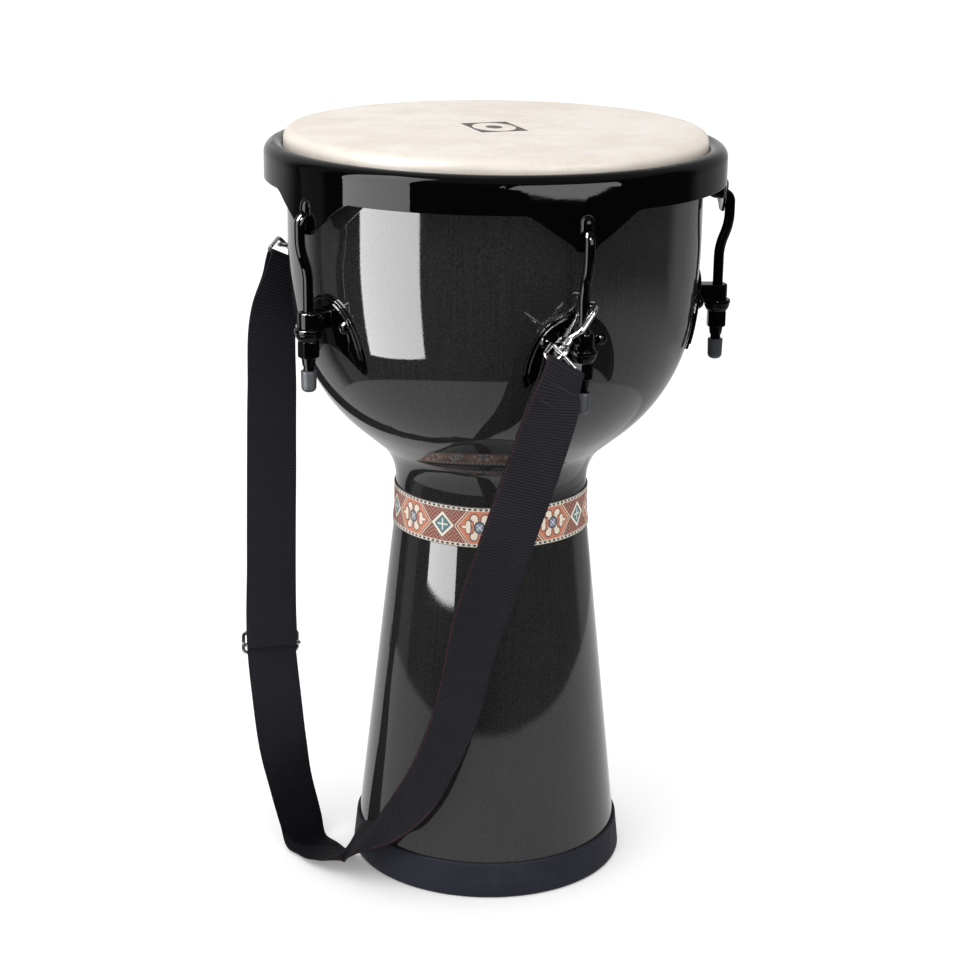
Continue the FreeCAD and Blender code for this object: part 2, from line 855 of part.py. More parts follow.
def snap_place(end):
    """The snap's own frame: eye at the origin, +Z to the loop, +X away from the drum."""
    lug, eye, rod = SNAPS[end]
    return at_lug(lug).multiply(frame_on(eye, Vector(1, 0, 0), rod - eye))


def make_snap_hook(end):
    """Eye, neck, spine and nose of a snap hook, without its gate."""
    label = f"snap_hook_{end}"
    wire, half, neck = S.snap_wire, S.snap_half, S.snap_neck
    straight = S.snap_straight
    eye = primitive("Torus", label + "_eye", Radius1=S.snap_eye, Radius2=S.snap_eye_wire)
    eye.Placement = Placement(Vector(), Rotation(Vector(1, 0, 0), 90))
    barrel = primitive("Cylinder", label + "_neck", Radius=3.2, Height=neck - S.snap_eye - 0.6)
    barrel.Placement = Placement(Vector(0, 0, SIZES["snap_eye"] + 0.6), Rotation())
    spine = pipe(
        label + "_spine",
        [
            (0, neck - 1),
            (0, neck, 4.0, -1),
            (2.2, neck + 3.34),
            (half - 2.2, neck + 5.86, 4.0, 1),
            (half, neck + 9.2),
            (half, straight, half, 1),
            (0, straight + half, half, 1),
            (-half, straight),
            (-half, straight - 2.5),
        ],
        wire,
        shift=(0, 0, neck - 1),
    )
    heel = primitive("Box", label + "_heel", Length=half + 1.5, Width=5.2, Height=4.6)
    heel.Placement = Placement(
        Vector(-SIZES["snap_half"] - 1.5, -2.6, SIZES["snap_neck"] - 4.2), Rotation()
    )
    body = combine("MultiFuse", label + "_solid", eye, barrel, spine, heel)
    slot = primitive("Box", label + "_slot", Length=half + 3, Width=3.6, Height=6.2)
    slot.Placement = Placement(
        Vector(-SIZES["snap_half"] - 3.3, -1.8, SIZES["snap_neck"] - 2.6), Rotation()
    )
    bore = primitive("Cylinder", label + "_bore", Radius=S.pin_wire + 0.02, Height=8)
    bore.Placement = Placement(pin_centre() + Vector(0, 4, 0), Rotation(Vector(1, 0, 0), 90))
    tools = combine("MultiFuse", label + "_tools", slot, bore)
    hook = combine("Cut", label, body, tools)
    hook.Placement = snap_place(end)
    return hook


def pin_centre():
    return Vector(-SIZES["snap_half"] + 1.4, 0, SIZES["snap_neck"] - 0.4)


def make_snap_pin(end):
    pin = primitive("Cylinder", f"snap_pin_{end}", Radius=S.pin_wire, Height=5.8)
    pin.Label = f"snap_pin_{end}"
    place = Placement(pin_centre() + Vector(0, 2.9, 0), Rotation(Vector(1, 0, 0), 90))
    pin.Placement = snap_place(end).multiply(place)
    return pin


def make_snap_gate(end):
    """A thin bar that closes the loop, with an eye round the pin and a cupped end."""
    label = f"snap_gate_{end}"
    pin = pin_centre()
    knuckle = primitive("Cylinder", label + "_knuckle", Radius=2.2, Height=3.4)
    knuckle.Placement = Placement(pin + Vector(0, 1.7, 0), Rotation(Vector(1, 0, 0), 90))
    tip = Vector(-SIZES["snap_half"], 0, SIZES["snap_straight"] - 3.1)
    bar = primitive("Cylinder", label + "_bar", Radius=S.gate_wire, Height=(tip - pin).Length)
    bar.Placement = frame_on(pin, Vector(0, 1, 0), tip - pin)
    solid = combine("MultiFuse", label + "_solid", knuckle, bar)
    bore = primitive("Cylinder", label + "_bore", Radius=S.pin_wire + 0.05, Height=8)
    bore.Placement = Placement(pin + Vector(0, 4, 0), Rotation(Vector(1, 0, 0), 90))
    gate = combine("Cut", label, solid, bore)
    gate.Placement = snap_place(end)
    return gate


def ring_place(end):
    """The ring's frame: base along +X at the origin, rising along +Y, one side in the eye."""
    along, rise = RINGS[end]
    half, high = SIZES["ring_base"] / 2, SIZES["ring_rise"]
    side = Vector(half, -high, 0).normalize()
    held = Vector(0, high, 0) + side * RING_SLIP
    turn = frame_on(Vector(), along, Vector(along).cross(rise))
    eye = snap_place(end).Base
    return Placement(eye - turn.Rotation.multVec(held), turn.Rotation)


def make_ring(end):
    """A triangle of round wire with bent corners."""
    half, high, bend = S.ring_base / 2, S.ring_rise, S.ring_corner
    slope = math.atan2(high.value, half.value)
    low_cut = bend.value * math.tan((math.pi - slope) / 2)
    top_cut = bend.value * math.tan(slope)
    side = Vector(-half.value, high.value, 0).normalize()
    right = Vector(half.value, 0, 0)
    top = Vector(0, high.value, 0)
    low_end, high_end = right + side * low_cut, top - side * top_cut
    path = [
        (0, 0),
        (half - low_cut, 0, bend, 1),
        (low_end.x, low_end.y),
        (high_end.x, high_end.y, bend, 1),
        (-high_end.x, high_end.y),
        (-low_end.x, low_end.y, bend, 1),
        (-half + low_cut, 0),
    ]
    ring = pipe(
        f"strap_ring_{end}",
        path,
        S.ring_wire,
        closed=True,
        plane="XY_Plane",
        profile="YZ_Plane",
    )
    ring.Placement = ring_place(end)
    return ring


# ---------------------------------------------------------------- webbing strap

# The strap's middle line between the rings, (x, y, z), and the way its width points, from
# the back ring down to the floor beside the foot and up to the front ring.
STRAP = [
    ((-165, 46, 412), (0.80, 0.50, -0.20)),
    ((-167, 37, 350), (0.93, 0.35, 0.0)),
    ((-167.4, 30, 292), (0.95, 0.30, 0.0)),
    ((-167.8, 21, 220), (0.96, 0.28, 0.0)),
    ((-168, 13, 156), (0.96, 0.28, 0.0)),
    ((-164, 10, 112), (0.96, 0.20, 0.07)),
    ((-158.9, 1, 77), (0.93, 0.35, 0.09)),
    ((-152.6, -3, 45.6), (0.79, 0.59, 0.13)),
    ((-144.5, -10.3, 17.6), (0.79, 0.61, -0.04)),
    ((-139.6, -18.1, 3.2), (0.75, 0.66, -0.04)),
    ((-130.3, -28.4, 2.2), (0.77, 0.63, -0.06)),
    ((-122.1, -40.1, 3.0), (0.82, 0.57, -0.10)),
    ((-112.3, -51.2, 7.7), (0.69, 0.71, -0.12)),
    ((-101.6, -58.3, 21.7), (0.28, 0.87, 0.40)),
    ((-91.0, -71.7, 33.0), (0.45, 0.80, 0.39)),
    ((-70.9, -81.3, 50.6), (-0.16, 0.89, 0.42)),
    ((-50.2, -87.8, 77.1), (-0.52, 0.72, 0.46)),
    ((-35.1, -94.7, 110.8), (-0.66, 0.65, 0.37)),
    ((-21.5, -103.7, 153.5), (-0.80, 0.50, 0.33)),
    ((-11.1, -120.4, 209.5), (-0.88, 0.41, 0.24)),
    ((8, -142, 281), (-0.99, -0.05, 0.0)),
    ((28, -160, 350), (-0.95, -0.10, 0.10)),
    ((40, -174, 396), (-0.80, -0.35, 0.25)),
]


STRAP_SECTIONS = 48


def strap_stations():
    """Middle points, width directions and headings, from just under one ring to the other."""
    points = [(Vector(*point), Vector(*wide)) for point, wide in STRAP]
    lead = 3.4
    ends = []
    for end, index, side in (("back", 0, 1), ("front", -1, -1)):
        base, along = ring_place(end).Base, Vector(RINGS[end][0]).normalize() * side
        away = points[index][0] - base
        away = (away - along * away.dot(along)).normalize()
        ends.append((base + away * lead, along, away * side))
    stations = [ends[0]]
    for i, (point, wide) in enumerate(points):
        before = points[i - 1][0] if i else ends[0][0]
        after = points[i + 1][0] if i + 1 < len(points) else ends[1][0]
        stations.append((point, wide, (after - before).normalize()))
    return stations + [ends[1]]


def strap_corners(point, wide, ahead):
    """The four corners of the webbing's rectangle, square to the way it runs."""
    ahead = ahead.normalize()
    wide = (wide - ahead * wide.dot(ahead)).normalize() * (SIZES["web_width"] / 2)
    thick = ahead.cross(wide).normalize() * (SIZES["web_thick"] / 2)
    return [point + wide + thick, point - wide + thick, point - wide - thick, point + wide - thick]


def smooth_curve(points, knots):
    curve = Part.BSplineCurve()
    curve.interpolate(Points=points, Parameters=knots)
    return curve


def make_strap():
    """The webbing as one closed solid; its sewn ends stop just short of the rings."""
    stations = strap_stations()
    knots = [0.0]
    for (before, _, _), (point, _, _) in zip(stations, stations[1:]):
        knots.append(knots[-1] + (point - before).Length)
    rows = [strap_corners(*station) for station in stations]
    middle = smooth_curve([point for point, _, _ in stations], knots)
    edge = smooth_curve([(row[0] + row[3]) * 0.5 for row in rows], knots)
    sections = []
    for i in range(STRAP_SECTIONS):
        knot = knots[-1] * i / (STRAP_SECTIONS - 1)
        point, heading = middle.value(knot), middle.tangent(knot)[0]
        if i in (0, STRAP_SECTIONS - 1):
            heading = stations[0 if i == 0 else -1][2]
        corners = strap_corners(point, edge.value(knot) - point, heading)
        sections.append(Part.makePolygon(corners + corners[:1]))
    strap = doc.addObject("Part::Feature", "strap_webbing")
    strap.Shape = Part.makeLoft(sections, True, True)
    strap.Label = "strap_webbing"
    return strap


def slide_frame():
    """The slide's frame on the straight back leg: +Z up the webbing, +X across it."""
    low, wide = Vector(*STRAP[4][0]), Vector(*STRAP[4][1])
    high = Vector(*STRAP[2][0])
    return frame_on(low, wide, high - low)


def make_slide():
    """A three-bar slide: a frame behind the single run, its centre bar before it, in the fold."""
    wire, half, rise = S.slide_wire, S.slide_width / 2, S.slide_rise / 2
    frame = pipe(
        "strap_slide_frame",
        [
            (0, -rise),
            (half - 3, -rise, 3.0, 1),
            (half, -rise + 3),
            (half, rise - 3, 3.0, 1),
            (half - 3, rise),
            (-half + 3, rise, 3.0, 1),
            (-half, rise - 3),
            (-half, -rise + 3, 3.0, 1),
            (-half + 3, -rise),
        ],
        wire,
        closed=True,
        profile="YZ_Plane",
        shift=(0, -rise, 0),
    )
    front = SIZES["web_thick"] / 2 + SIZES["slide_wire"] + 1.4
    frame.Placement = Placement(Vector(0, front, 0), Rotation())
    bar = primitive("Cylinder", "strap_slide_bar", Radius=wire, Height=S.slide_width)
    bar.Placement = Placement(
        Vector(-SIZES["slide_width"] / 2, -front, 0), Rotation(Vector(0, 1, 0), 90)
    )
    links = []
    for side in (-1, 1):
        link = primitive("Cylinder", "strap_slide_link", Radius=wire, Height=2 * front)
        link.Placement = Placement(
            Vector(side * SIZES["slide_width"] / 2, front, 0), Rotation(Vector(1, 0, 0), 90)
        )
        links.append(link)
    slide = combine("MultiFuse", "strap_slide", frame, bar, *links)
    slide.Placement = slide_frame()
    return slide


# ---------------------------------------------------------------- assembly


def build():
    fill_sheet()
    parts = [make_shell(), make_foot_ring(), make_waist_band()]
    parts += [make_skin(), make_flesh_hoop(), make_counterhoop()]
    for index in range(LUGS):
        parts += [make_hook(index), make_cap(index), make_nut(index), make_washer(index)]
        parts += [make_side_plate(index), make_backing_plate(index)]
    seat = S.touch_gap + S.plate_thick + S.plate_raise + 0.12
    parts.append(group_at_bolts("plate_bolts", make_bolt_blank(), seat.value))
    inside = -(S.wall + S.touch_gap + S.backing_thick + 0.12)
    parts.append(group_at_bolts("plate_bolt_nuts", make_nut_blank(), inside.value))
    for end in SNAPS:
        parts += [make_snap_hook(end), make_snap_pin(end), make_snap_gate(end), make_ring(end)]
    parts += [make_strap(), make_slide()]
    doc.recompute()
    return parts


def check(parts):
    for thing in doc.Objects:
        if {"Invalid", "Error"} & set(thing.State):
            raise RuntimeError(f"{thing.Label} failed: {thing.State}")
    for part in parts:
        if part.Shape.isNull() or not part.Shape.isValid():
            raise RuntimeError(f"{part.Label} has no valid shape")
        if not part.Shape.Solids:
            raise RuntimeError(f"{part.Label} has no solid")


def main():
    parts = build()
    check(parts)
    for part in parts:
        part.Shape.exportStep(f"parts/{part.Label}.step")


main()
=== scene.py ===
import math

import bpy
import numpy as np
from mathutils import Matrix, Vector


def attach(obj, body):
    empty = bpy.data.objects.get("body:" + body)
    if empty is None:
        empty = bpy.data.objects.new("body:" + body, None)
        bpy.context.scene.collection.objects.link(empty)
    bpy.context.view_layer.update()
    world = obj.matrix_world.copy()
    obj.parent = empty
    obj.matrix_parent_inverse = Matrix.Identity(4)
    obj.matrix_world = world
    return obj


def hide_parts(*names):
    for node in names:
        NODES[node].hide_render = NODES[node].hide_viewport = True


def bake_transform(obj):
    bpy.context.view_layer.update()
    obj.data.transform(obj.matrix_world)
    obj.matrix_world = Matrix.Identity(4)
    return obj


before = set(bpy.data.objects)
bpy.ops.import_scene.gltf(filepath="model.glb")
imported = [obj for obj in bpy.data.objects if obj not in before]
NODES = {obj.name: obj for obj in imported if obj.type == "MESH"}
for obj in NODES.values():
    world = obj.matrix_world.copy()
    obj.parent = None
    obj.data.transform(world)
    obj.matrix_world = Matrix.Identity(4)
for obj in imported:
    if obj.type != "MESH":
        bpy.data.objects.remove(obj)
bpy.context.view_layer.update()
SCENE = bpy.context.scene
MM = 0.001


# ---------------------------------------------------------------- node maths


class Value:
    """A number in a node tree. Python arithmetic on it adds Math nodes."""

    def __init__(self, tree, socket):
        self.tree = tree
        self.socket = socket

    def node(self, operation, *others):
        math_node = self.tree.nodes.new("ShaderNodeMath")
        math_node.operation = operation
        for slot, value in enumerate((self, *others)):
            if isinstance(value, Value):
                self.tree.links.new(value.socket, math_node.inputs[slot])
            else:
                math_node.inputs[slot].default_value = value
        return Value(self.tree, math_node.outputs[0])

    def __add__(self, other):
        return self.node("ADD", other)

    def __sub__(self, other):
        return self.node("SUBTRACT", other)

    def __mul__(self, other):
        return self.node("MULTIPLY", other)

    def __truediv__(self, other):
        return self.node("DIVIDE", other)

    __radd__ = __add__
    __rmul__ = __mul__

    def __rsub__(self, other):
        return (self * -1) + other

    def __lt__(self, other):
        return self.node("LESS_THAN", other)

    def __gt__(self, other):
        return self.node("GREATER_THAN", other)

    def abs(self):
        return self.node("ABSOLUTE")

    def sin(self):
        return self.node("SINE")

    def fract(self):
        return self.node("FRACT")

    def either(self, other):
        return self.node("MAXIMUM", other)

    def both(self, other):
        return self.node("MINIMUM", other)


class Material:
    """A principled material with short helpers for its textures."""

    def __init__(self, name, color, roughness, metallic=0.0, ior=1.5):
        self.material = bpy.data.materials.new(name)
        self.material.use_nodes = True
        self.tree = self.material.node_tree
        self.shader = self.tree.nodes["Principled BSDF"]
        self.set("Base Color", (*color, 1))
        self.set("Roughness", roughness)
        self.set("Metallic", metallic)
        self.set("IOR", ior)
        self.coords = self.tree.nodes.new("ShaderNodeTexCoord")

    def set(self, name, value):
        if isinstance(value, Value):
            value = value.socket
        if isinstance(value, bpy.types.NodeSocket):
            self.tree.links.new(value, self.shader.inputs[name])
        else:
            self.shader.inputs[name].default_value = value

    def axes(self, which="Object"):
        """The x, y and z of a texture coordinate as values."""
        split = self.tree.nodes.new("ShaderNodeSeparateXYZ")
        self.tree.links.new(self.coords.outputs[which], split.inputs[0])
        return [Value(self.tree, socket) for socket in split.outputs]

    def vector(self, x, y, z=0.0):
        join = self.tree.nodes.new("ShaderNodeCombineXYZ")
        for slot, value in enumerate((x, y, z)):
            if isinstance(value, Value):
                self.tree.links.new(value.socket, join.inputs[slot])
            else:
                join.inputs[slot].default_value = value
        return join.outputs[0]

    def round_axes(self):
        """Angle about the drum's axis (0 at the front, towards +X), radius and height."""
        x, y, z = self.axes()
        return x.node("ARCTAN2", y * -1), (x * x + y * y).node("SQRT"), z

    def noise(self, scale, detail=3.0, rough=0.5, vector=None):
        texture = self.tree.nodes.new("ShaderNodeTexNoise")
        texture.inputs["Scale"].default_value = scale
        texture.inputs["Detail"].default_value = detail
        texture.inputs["Roughness"].default_value = rough
        source = vector if vector is not None else self.coords.outputs["Object"]
        self.tree.links.new(source, texture.inputs["Vector"])
        return Value(self.tree, texture.outputs["Fac"])

    def ramp(self, value, low, high, to_low=0.0, to_high=1.0):
        """Maps low..high smoothly to to_low..to_high."""
        mapper = self.tree.nodes.new("ShaderNodeMapRange")
        mapper.interpolation_type = "SMOOTHSTEP"
        self.tree.links.new(value.socket, mapper.inputs["Value"])
        for name, number in zip(("From Min", "From Max", "To Min", "To Max"),
                                (low, high, to_low, to_high)):
            mapper.inputs[name].default_value = number
        return Value(self.tree, mapper.outputs["Result"])

    def mix(self, amount, first, second):
        """A colour between first and second; each is a colour or a socket."""
        mixer = self.tree.nodes.new("ShaderNodeMix")
        mixer.data_type = "RGBA"
        self.tree.links.new(amount.socket, mixer.inputs["Factor"])
        for name, color in (("A", first), ("B", second)):
            slot = [s for s in mixer.inputs if s.name == name and s.type == "RGBA"][0]
            if isinstance(color, bpy.types.NodeSocket):
                self.tree.links.new(color, slot)
            else:
                slot.default_value = (*color, 1)
        return [s for s in mixer.outputs if s.type == "RGBA"][0]

    def bump(self, height, strength, distance, edge=0.0):
        """Relief from a height value, with the mesh's edges rounded by edge metres first."""
        bump = self.tree.nodes.new("ShaderNodeBump")
        bump.inputs["Strength"].default_value = strength
        bump.inputs["Distance"].default_value = distance
        self.tree.links.new(height.socket, bump.inputs["Height"])
        if edge:
            self.tree.links.new(self.rounded(edge), bump.inputs["Normal"])
        self.tree.links.new(bump.outputs[0], self.shader.inputs["Normal"])

    def rounded(self, radius):
        bevel = self.tree.nodes.new("ShaderNodeBevel")
        bevel.samples = 6
        bevel.inputs["Radius"].default_value = radius
        return bevel.outputs[0]


# ---------------------------------------------------------------- materials


def fibreglass():
    """Black gel coat over glass cloth: a deep gloss with a fine cloth grain under it."""
    made = Material("fibreglass", (0.018, 0.018, 0.018), 0.07)
    angle, radius, height = made.round_axes()
    speck = made.noise(820, 3, 0.7)
    streak = made.noise(1, 4, 0.65, made.vector(angle * 90, height * 14, radius * 20))
    cloud = made.noise(11, 3, 0.55)
    weave = speck * 0.75 + streak * 0.25
    tone = made.mix(made.ramp(weave, 0.35, 0.65), (0.011, 0.011, 0.011), (0.024, 0.024, 0.024))
    tone = made.mix(made.ramp(cloud, 0.45, 0.75, 0.0, 0.35), tone, (0.009, 0.009, 0.009))
    made.set("Base Color", tone)
    made.set("Roughness", made.ramp(cloud, 0.35, 0.7, 0.03, 0.06))
    ripple = made.noise(9, 2, 0.4)
    made.bump(ripple * 0.8 + speck * 0.02, 0.22, 0.0014)
    return made.material


def goatskin():
    """Cream skin with cloudy patches, pores, faint veins and a plain stamp in the middle."""
    made = Material("goatskin", (0.8, 0.74, 0.66), 0.5)
    x, y, z = made.axes()
    cloud = made.noise(17, 5, 0.62)
    patch = made.noise(38, 6, 0.7)
    speck = made.noise(420, 2, 0.5)
    vein = (made.noise(26, 4, 0.6) - 0.5).abs()
    tone = made.mix(made.ramp(cloud, 0.36, 0.66), (0.86, 0.80, 0.735), (0.77, 0.695, 0.62))
    tone = made.mix(made.ramp(patch, 0.5, 0.75, 0.0, 0.5), tone, (0.89, 0.86, 0.81))
    tone = made.mix(made.ramp(vein, 0.0, 0.02, 0.16, 0.0), tone, (0.52, 0.38, 0.30))
    tone = made.mix(made.ramp(speck, 0.66, 0.78, 0.0, 0.25), tone, (0.55, 0.45, 0.38))
    radius = (x * x + y * y).node("SQRT")
    tone = made.mix(made.ramp(radius, 0.136, 0.152, 0.0, 0.4), tone, (0.74, 0.66, 0.56))
    ink = stamp_mask(made, x, y)
    worn = made.ramp(made.noise(300, 3, 0.6), 0.3, 0.5, 0.75, 1.0)
    tone = made.mix(ink * worn * (z > 0.55), tone, (0.055, 0.020, 0.017))
    made.set("Base Color", tone)
    made.set("Roughness", made.ramp(cloud, 0.3, 0.7, 0.42, 0.6))
    made.set("Subsurface Weight", 0.12)
    made.set("Subsurface Radius", (0.004, 0.0025, 0.0015))
    made.set("Subsurface Scale", 0.6)
    made.bump(patch * 0.6 + speck * 0.12 + cloud * 0.6, 0.35, 0.0012)
    return made.material


def stamp_mask(made, x, y):
    """A plain stamp: a dark oblong with a round window and a dot in it, with no lettering."""
    turn = math.radians(20)
    shift_x, shift_y = x + 0.0015, y + 0.008
    across = shift_x * math.cos(turn) + shift_y * math.sin(turn)
    deep = shift_y * math.cos(turn) - shift_x * math.sin(turn)
    oblong = across.abs().either(deep.abs() * (17.5 / 23.5)) < 0.0175
    radius = (across * across + deep * deep * 0.55).node("SQRT")
    return oblong * (radius > 0.0150).either(radius < 0.0058)


def rubber(name, color, roughness=0.62, shine=0.5):
    """Moulded rubber with a fine grain and a few pale scuffs."""
    made = Material(name, color, roughness, ior=1.45)
    made.set("Specular IOR Level", shine)
    grain = made.noise(900, 2, 0.5)
    scuff = made.noise(30, 5, 0.7)
    pale = tuple(min(1, c * 1.9 + 0.01) for c in color)
    made.set("Base Color", made.mix(made.ramp(scuff, 0.5, 0.8, 0.0, 0.45), color, pale))
    made.set("Roughness", made.ramp(scuff, 0.3, 0.75, roughness - 0.1, roughness + 0.12))
    made.bump(grain * 0.3 + scuff * 0.4, 0.3, 0.0004, 0.0006)
    return made.material


def black_paint():
    """Gloss black powder coat: nearly smooth, with a very slight orange peel."""
    made = Material("black_powder_coat", (0.0008, 0.0008, 0.0009), 0.07, ior=1.42)
    made.set("Specular IOR Level", 0.16)
    peel = made.noise(520, 2, 0.5)
    wear = made.noise(60, 4, 0.6)
    made.set("Base Color", made.mix(wear, (0.0006, 0.0006, 0.0007), (0.0014, 0.0014, 0.0015)))
    made.set("Roughness", made.ramp(wear, 0.35, 0.75, 0.012, 0.03))
    made.bump(peel, 0.02, 0.0002, 0.0007)
    return made.material


def metal(name, color, roughness, scratch=0.25):
    """Plated or plain steel with hazy patches and fine scratches."""
    made = Material(name, color, roughness, metallic=1.0)
    fine = made.noise(700, 3, 0.6)
    haze = made.noise(90, 4, 0.6)
    dull = tuple(c * 0.8 for c in color)
    made.set("Base Color", made.mix(made.ramp(haze, 0.4, 0.8, 0.0, 0.6), color, dull))
    made.set("Roughness", made.ramp(haze, 0.3, 0.75, roughness * 0.7, roughness * 1.7))
    made.bump(fine, scratch, 0.00008, 0.0004)
    return made.material


def webbing():
    """Near-black nylon webbing: fine cross ribs, rolled edges, a red edge thread, and painted light
    and shade.
    """
    made = Material("nylon_webbing", (0.02, 0.02, 0.025), 0.6, ior=1.35)
    across, along, _ = made.axes("UV")
    rib = (along * (2 * math.pi / 2.3)).sin() * 0.5 + 0.5
    yarn = (across * (2 * math.pi / 0.8) + along * (math.pi / 1.5)).sin() * 0.5 + 0.5
    fuzz = made.noise(1500, 3, 0.7)
    fade = made.noise(26, 4, 0.6)
    base = made.mix(made.ramp(fade, 0.35, 0.7), (0.0040, 0.0036, 0.0056), (0.0070, 0.0064, 0.0094))
    # Painted highlight: the ribs are coloured lighter, faintly along the whole strap and strongly
    # near the front ring.
    rib_highlight_near_ring = made.ramp(along, 740, 880, 0.07, 0.7)
    base = made.mix(rib * rib_highlight_near_ring, base, (0.023, 0.022, 0.029))
    base = made.mix(made.ramp(fuzz, 0.55, 0.8, 0.0, 0.35), base, (0.028, 0.027, 0.034))
    # Painted shade: the strip along both edges is coloured darker.
    base = made.mix(made.ramp(across.abs(), 17.9, 18.6, 0.0, 0.6), base, (0.004, 0.003, 0.005))
    side = made.ramp(across.abs(), 17.3, 17.6) * made.ramp(across.abs(), 18.1, 17.9)
    left_edge = made.ramp(along, 560, 600) * (across > 0)
    right_edge = made.ramp(along, 500, 540) * made.ramp(along, 640, 600) * (across < 0)
    dashes = made.ramp(made.noise(420, 2, 0.5), 0.35, 0.6, 0.15, 0.6)
    base = made.mix(side * left_edge.either(right_edge) * dashes, base, (0.11, 0.022, 0.020))
    # Painted light: the stretch from the back ring down the drum's side is coloured lighter.
    long_leg_painted_light = made.ramp(along, 320, 480, 0.75, 0.0)
    base = made.mix(long_leg_painted_light, base, (0.024, 0.0225, 0.029))
    made.set("Base Color", base)
    made.set("Specular IOR Level", 0.14)
    made.set("Roughness", made.ramp(fade, 0.3, 0.7, 0.6, 0.75))
    made.bump(rib * 0.8 + yarn * rib * 0.35 + fuzz * 0.25, 0.6, 0.0006)
    return made.material


def thread():
    """Dark twisted sewing thread."""
    made = Material("sewing_thread", (0.02, 0.02, 0.025), 0.6)
    twist = made.noise(2500, 2, 0.5)
    made.set("Base Color", made.mix(twist, (0.010, 0.010, 0.013), (0.028, 0.028, 0.034)))
    made.bump(twist, 0.4, 0.0002)
    return made.material


CREAM = (0.80, 0.66, 0.50)
INK = (0.016, 0.011, 0.012)
TEAL = (0.035, 0.16, 0.18)
SLATE = (0.13, 0.20, 0.32)
RIBBON_REPEATS = 8
RIBBON_TURN = 6.1
RIBBON_RADIUS = 73.0
RIBBON_MIDDLE = 279.65
THREAD_PITCH = 0.55
FRET = 3.1


def ribbon():
    """Woven ribbon: flower medallions and crossed diamonds between dashed borders."""
    made = Material("woven_ribbon", CREAM, 0.75)
    angle, _, height = made.round_axes()
    length = 2 * math.pi * RIBBON_RADIUS / RIBBON_REPEATS
    start = RIBBON_TURN * RIBBON_REPEATS / 360 + 0.5
    u = (angle * (RIBBON_REPEATS / (2 * math.pi)) + start).fract() * length
    u = u - length / 2
    v = height * 1000 - RIBBON_MIDDLE
    flower_u, flower_v = u.abs(), v.abs()
    gap_u = (length / 2 - flower_u).abs()

    hexagon = flower_u + flower_v * 0.80
    tone = made.mix(hexagon > 19.0, (0.60, 0.165, 0.075), (0.47, 0.135, 0.07))
    fret = ((gap_u + flower_v) / FRET).fract() < 0.5
    fret_back = ((gap_u - flower_v) / FRET).fract() < 0.5
    blocks = (gap_u / (2 * FRET) + 0.25).fract() < 0.5
    maze = fret * blocks + fret_back * (1 - blocks)
    tone = made.mix(maze * (hexagon > 19.6), tone, (0.030, 0.010, 0.009))
    shadow = (hexagon - 18.2).abs() < 1.7
    tone = made.mix(shadow, tone, (0.06, 0.018, 0.013))
    line = ((hexagon - 18.9).abs() < 0.55).either((hexagon - 16.9).abs() < 0.35)
    tone = made.mix(line, tone, (0.84, 0.60, 0.42))

    diamond = gap_u * 1.02 + flower_v * 0.98
    tone = made.mix(diamond < 10.4, tone, INK)
    tone = made.mix(diamond < 9.6, tone, (0.86, 0.78, 0.66))
    tone = made.mix(diamond < 7.0, tone, INK)
    tone = made.mix(diamond < 6.4, tone, TEAL)
    cross = ((gap_u < 0.6) + (flower_v < 0.6)).both(1) * (diamond < 4.6)
    tone = made.mix(cross, tone, (0.78, 0.78, 0.72))

    def blob(at_u, at_v, size_u, size_v):
        du, dv = (flower_u - at_u) / size_u, (flower_v - at_v) / size_v
        return du * du + dv * dv

    petal = blob(4.0, 7.0, 2.6, 2.5).both(blob(2.6, 4.0, 1.7, 2.4))
    tulip = blob(8.4, 2.2, 1.7, 2.6).both(blob(10.0, 0.0, 3.6, 1.1))
    shape = petal.both(tulip)
    tone = made.mix(shape < 1.75, tone, (0.05, 0.016, 0.012))
    tone = made.mix(shape < 1.0, tone, (0.86, 0.76, 0.62))
    core = blob(0.0, 0.0, 3.4, 3.9)
    tone = made.mix(core < 1.5, tone, INK)
    tone = made.mix(core < 0.8, tone, SLATE)
    glint = ((flower_u - flower_v).abs() < 0.45) * (core < 0.7)
    tone = made.mix(glint, tone, (0.75, 0.76, 0.74))

    border = flower_v > 12.1
    tone = made.mix(border, tone, (0.76, 0.70, 0.60))
    dash = ((angle * (112 / (2 * math.pi))).fract() < 0.56) * ((flower_v - 13.4).abs() < 0.8)
    tone = made.mix(dash, tone, INK)
    tone = made.mix(flower_v > 14.6, tone, INK)

    warp = (angle * (RIBBON_RADIUS * 2 * math.pi / THREAD_PITCH)).sin()
    weft = (v * (2 * math.pi / THREAD_PITCH)).sin()
    cloth = warp * weft * 0.5 + 0.5
    shade = made.noise(60, 4, 0.6)
    tone = made.mix(cloth * 0.16, tone, (0.10, 0.06, 0.05))
    tone = made.mix(made.ramp(shade, 0.45, 0.8, 0.0, 0.25), tone, (0.22, 0.12, 0.09))
    made.set("Base Color", tone)
    made.set("Sheen Weight", 0.15)
    made.bump(cloth, 0.5, 0.0003)
    return made.material


# ---------------------------------------------------------------- mesh building


def add_mesh(name, verts, faces, material, smooth_angle=40, uvs=None):
    """An object from vertices in metres, smooth except over edges sharper than the angle."""
    mesh = bpy.data.meshes.new(name)
    mesh.from_pydata([tuple(v) for v in verts], [], [tuple(f) for f in faces])
    mesh.validate()
    if uvs is not None:
        layer = mesh.uv_layers.new(name="UVMap")
        loops = np.zeros(len(mesh.loops), np.int32)
        mesh.loops.foreach_get("vertex_index", loops)
        layer.data.foreach_set("uv", np.array(uvs, np.float32)[loops].ravel())
    mesh.shade_smooth()
    mesh.set_sharp_from_angle(angle=math.radians(smooth_angle))
    mesh.materials.append(material)
    piece = bpy.data.objects.new(name, mesh)
    SCENE.collection.objects.link(piece)
    return piece


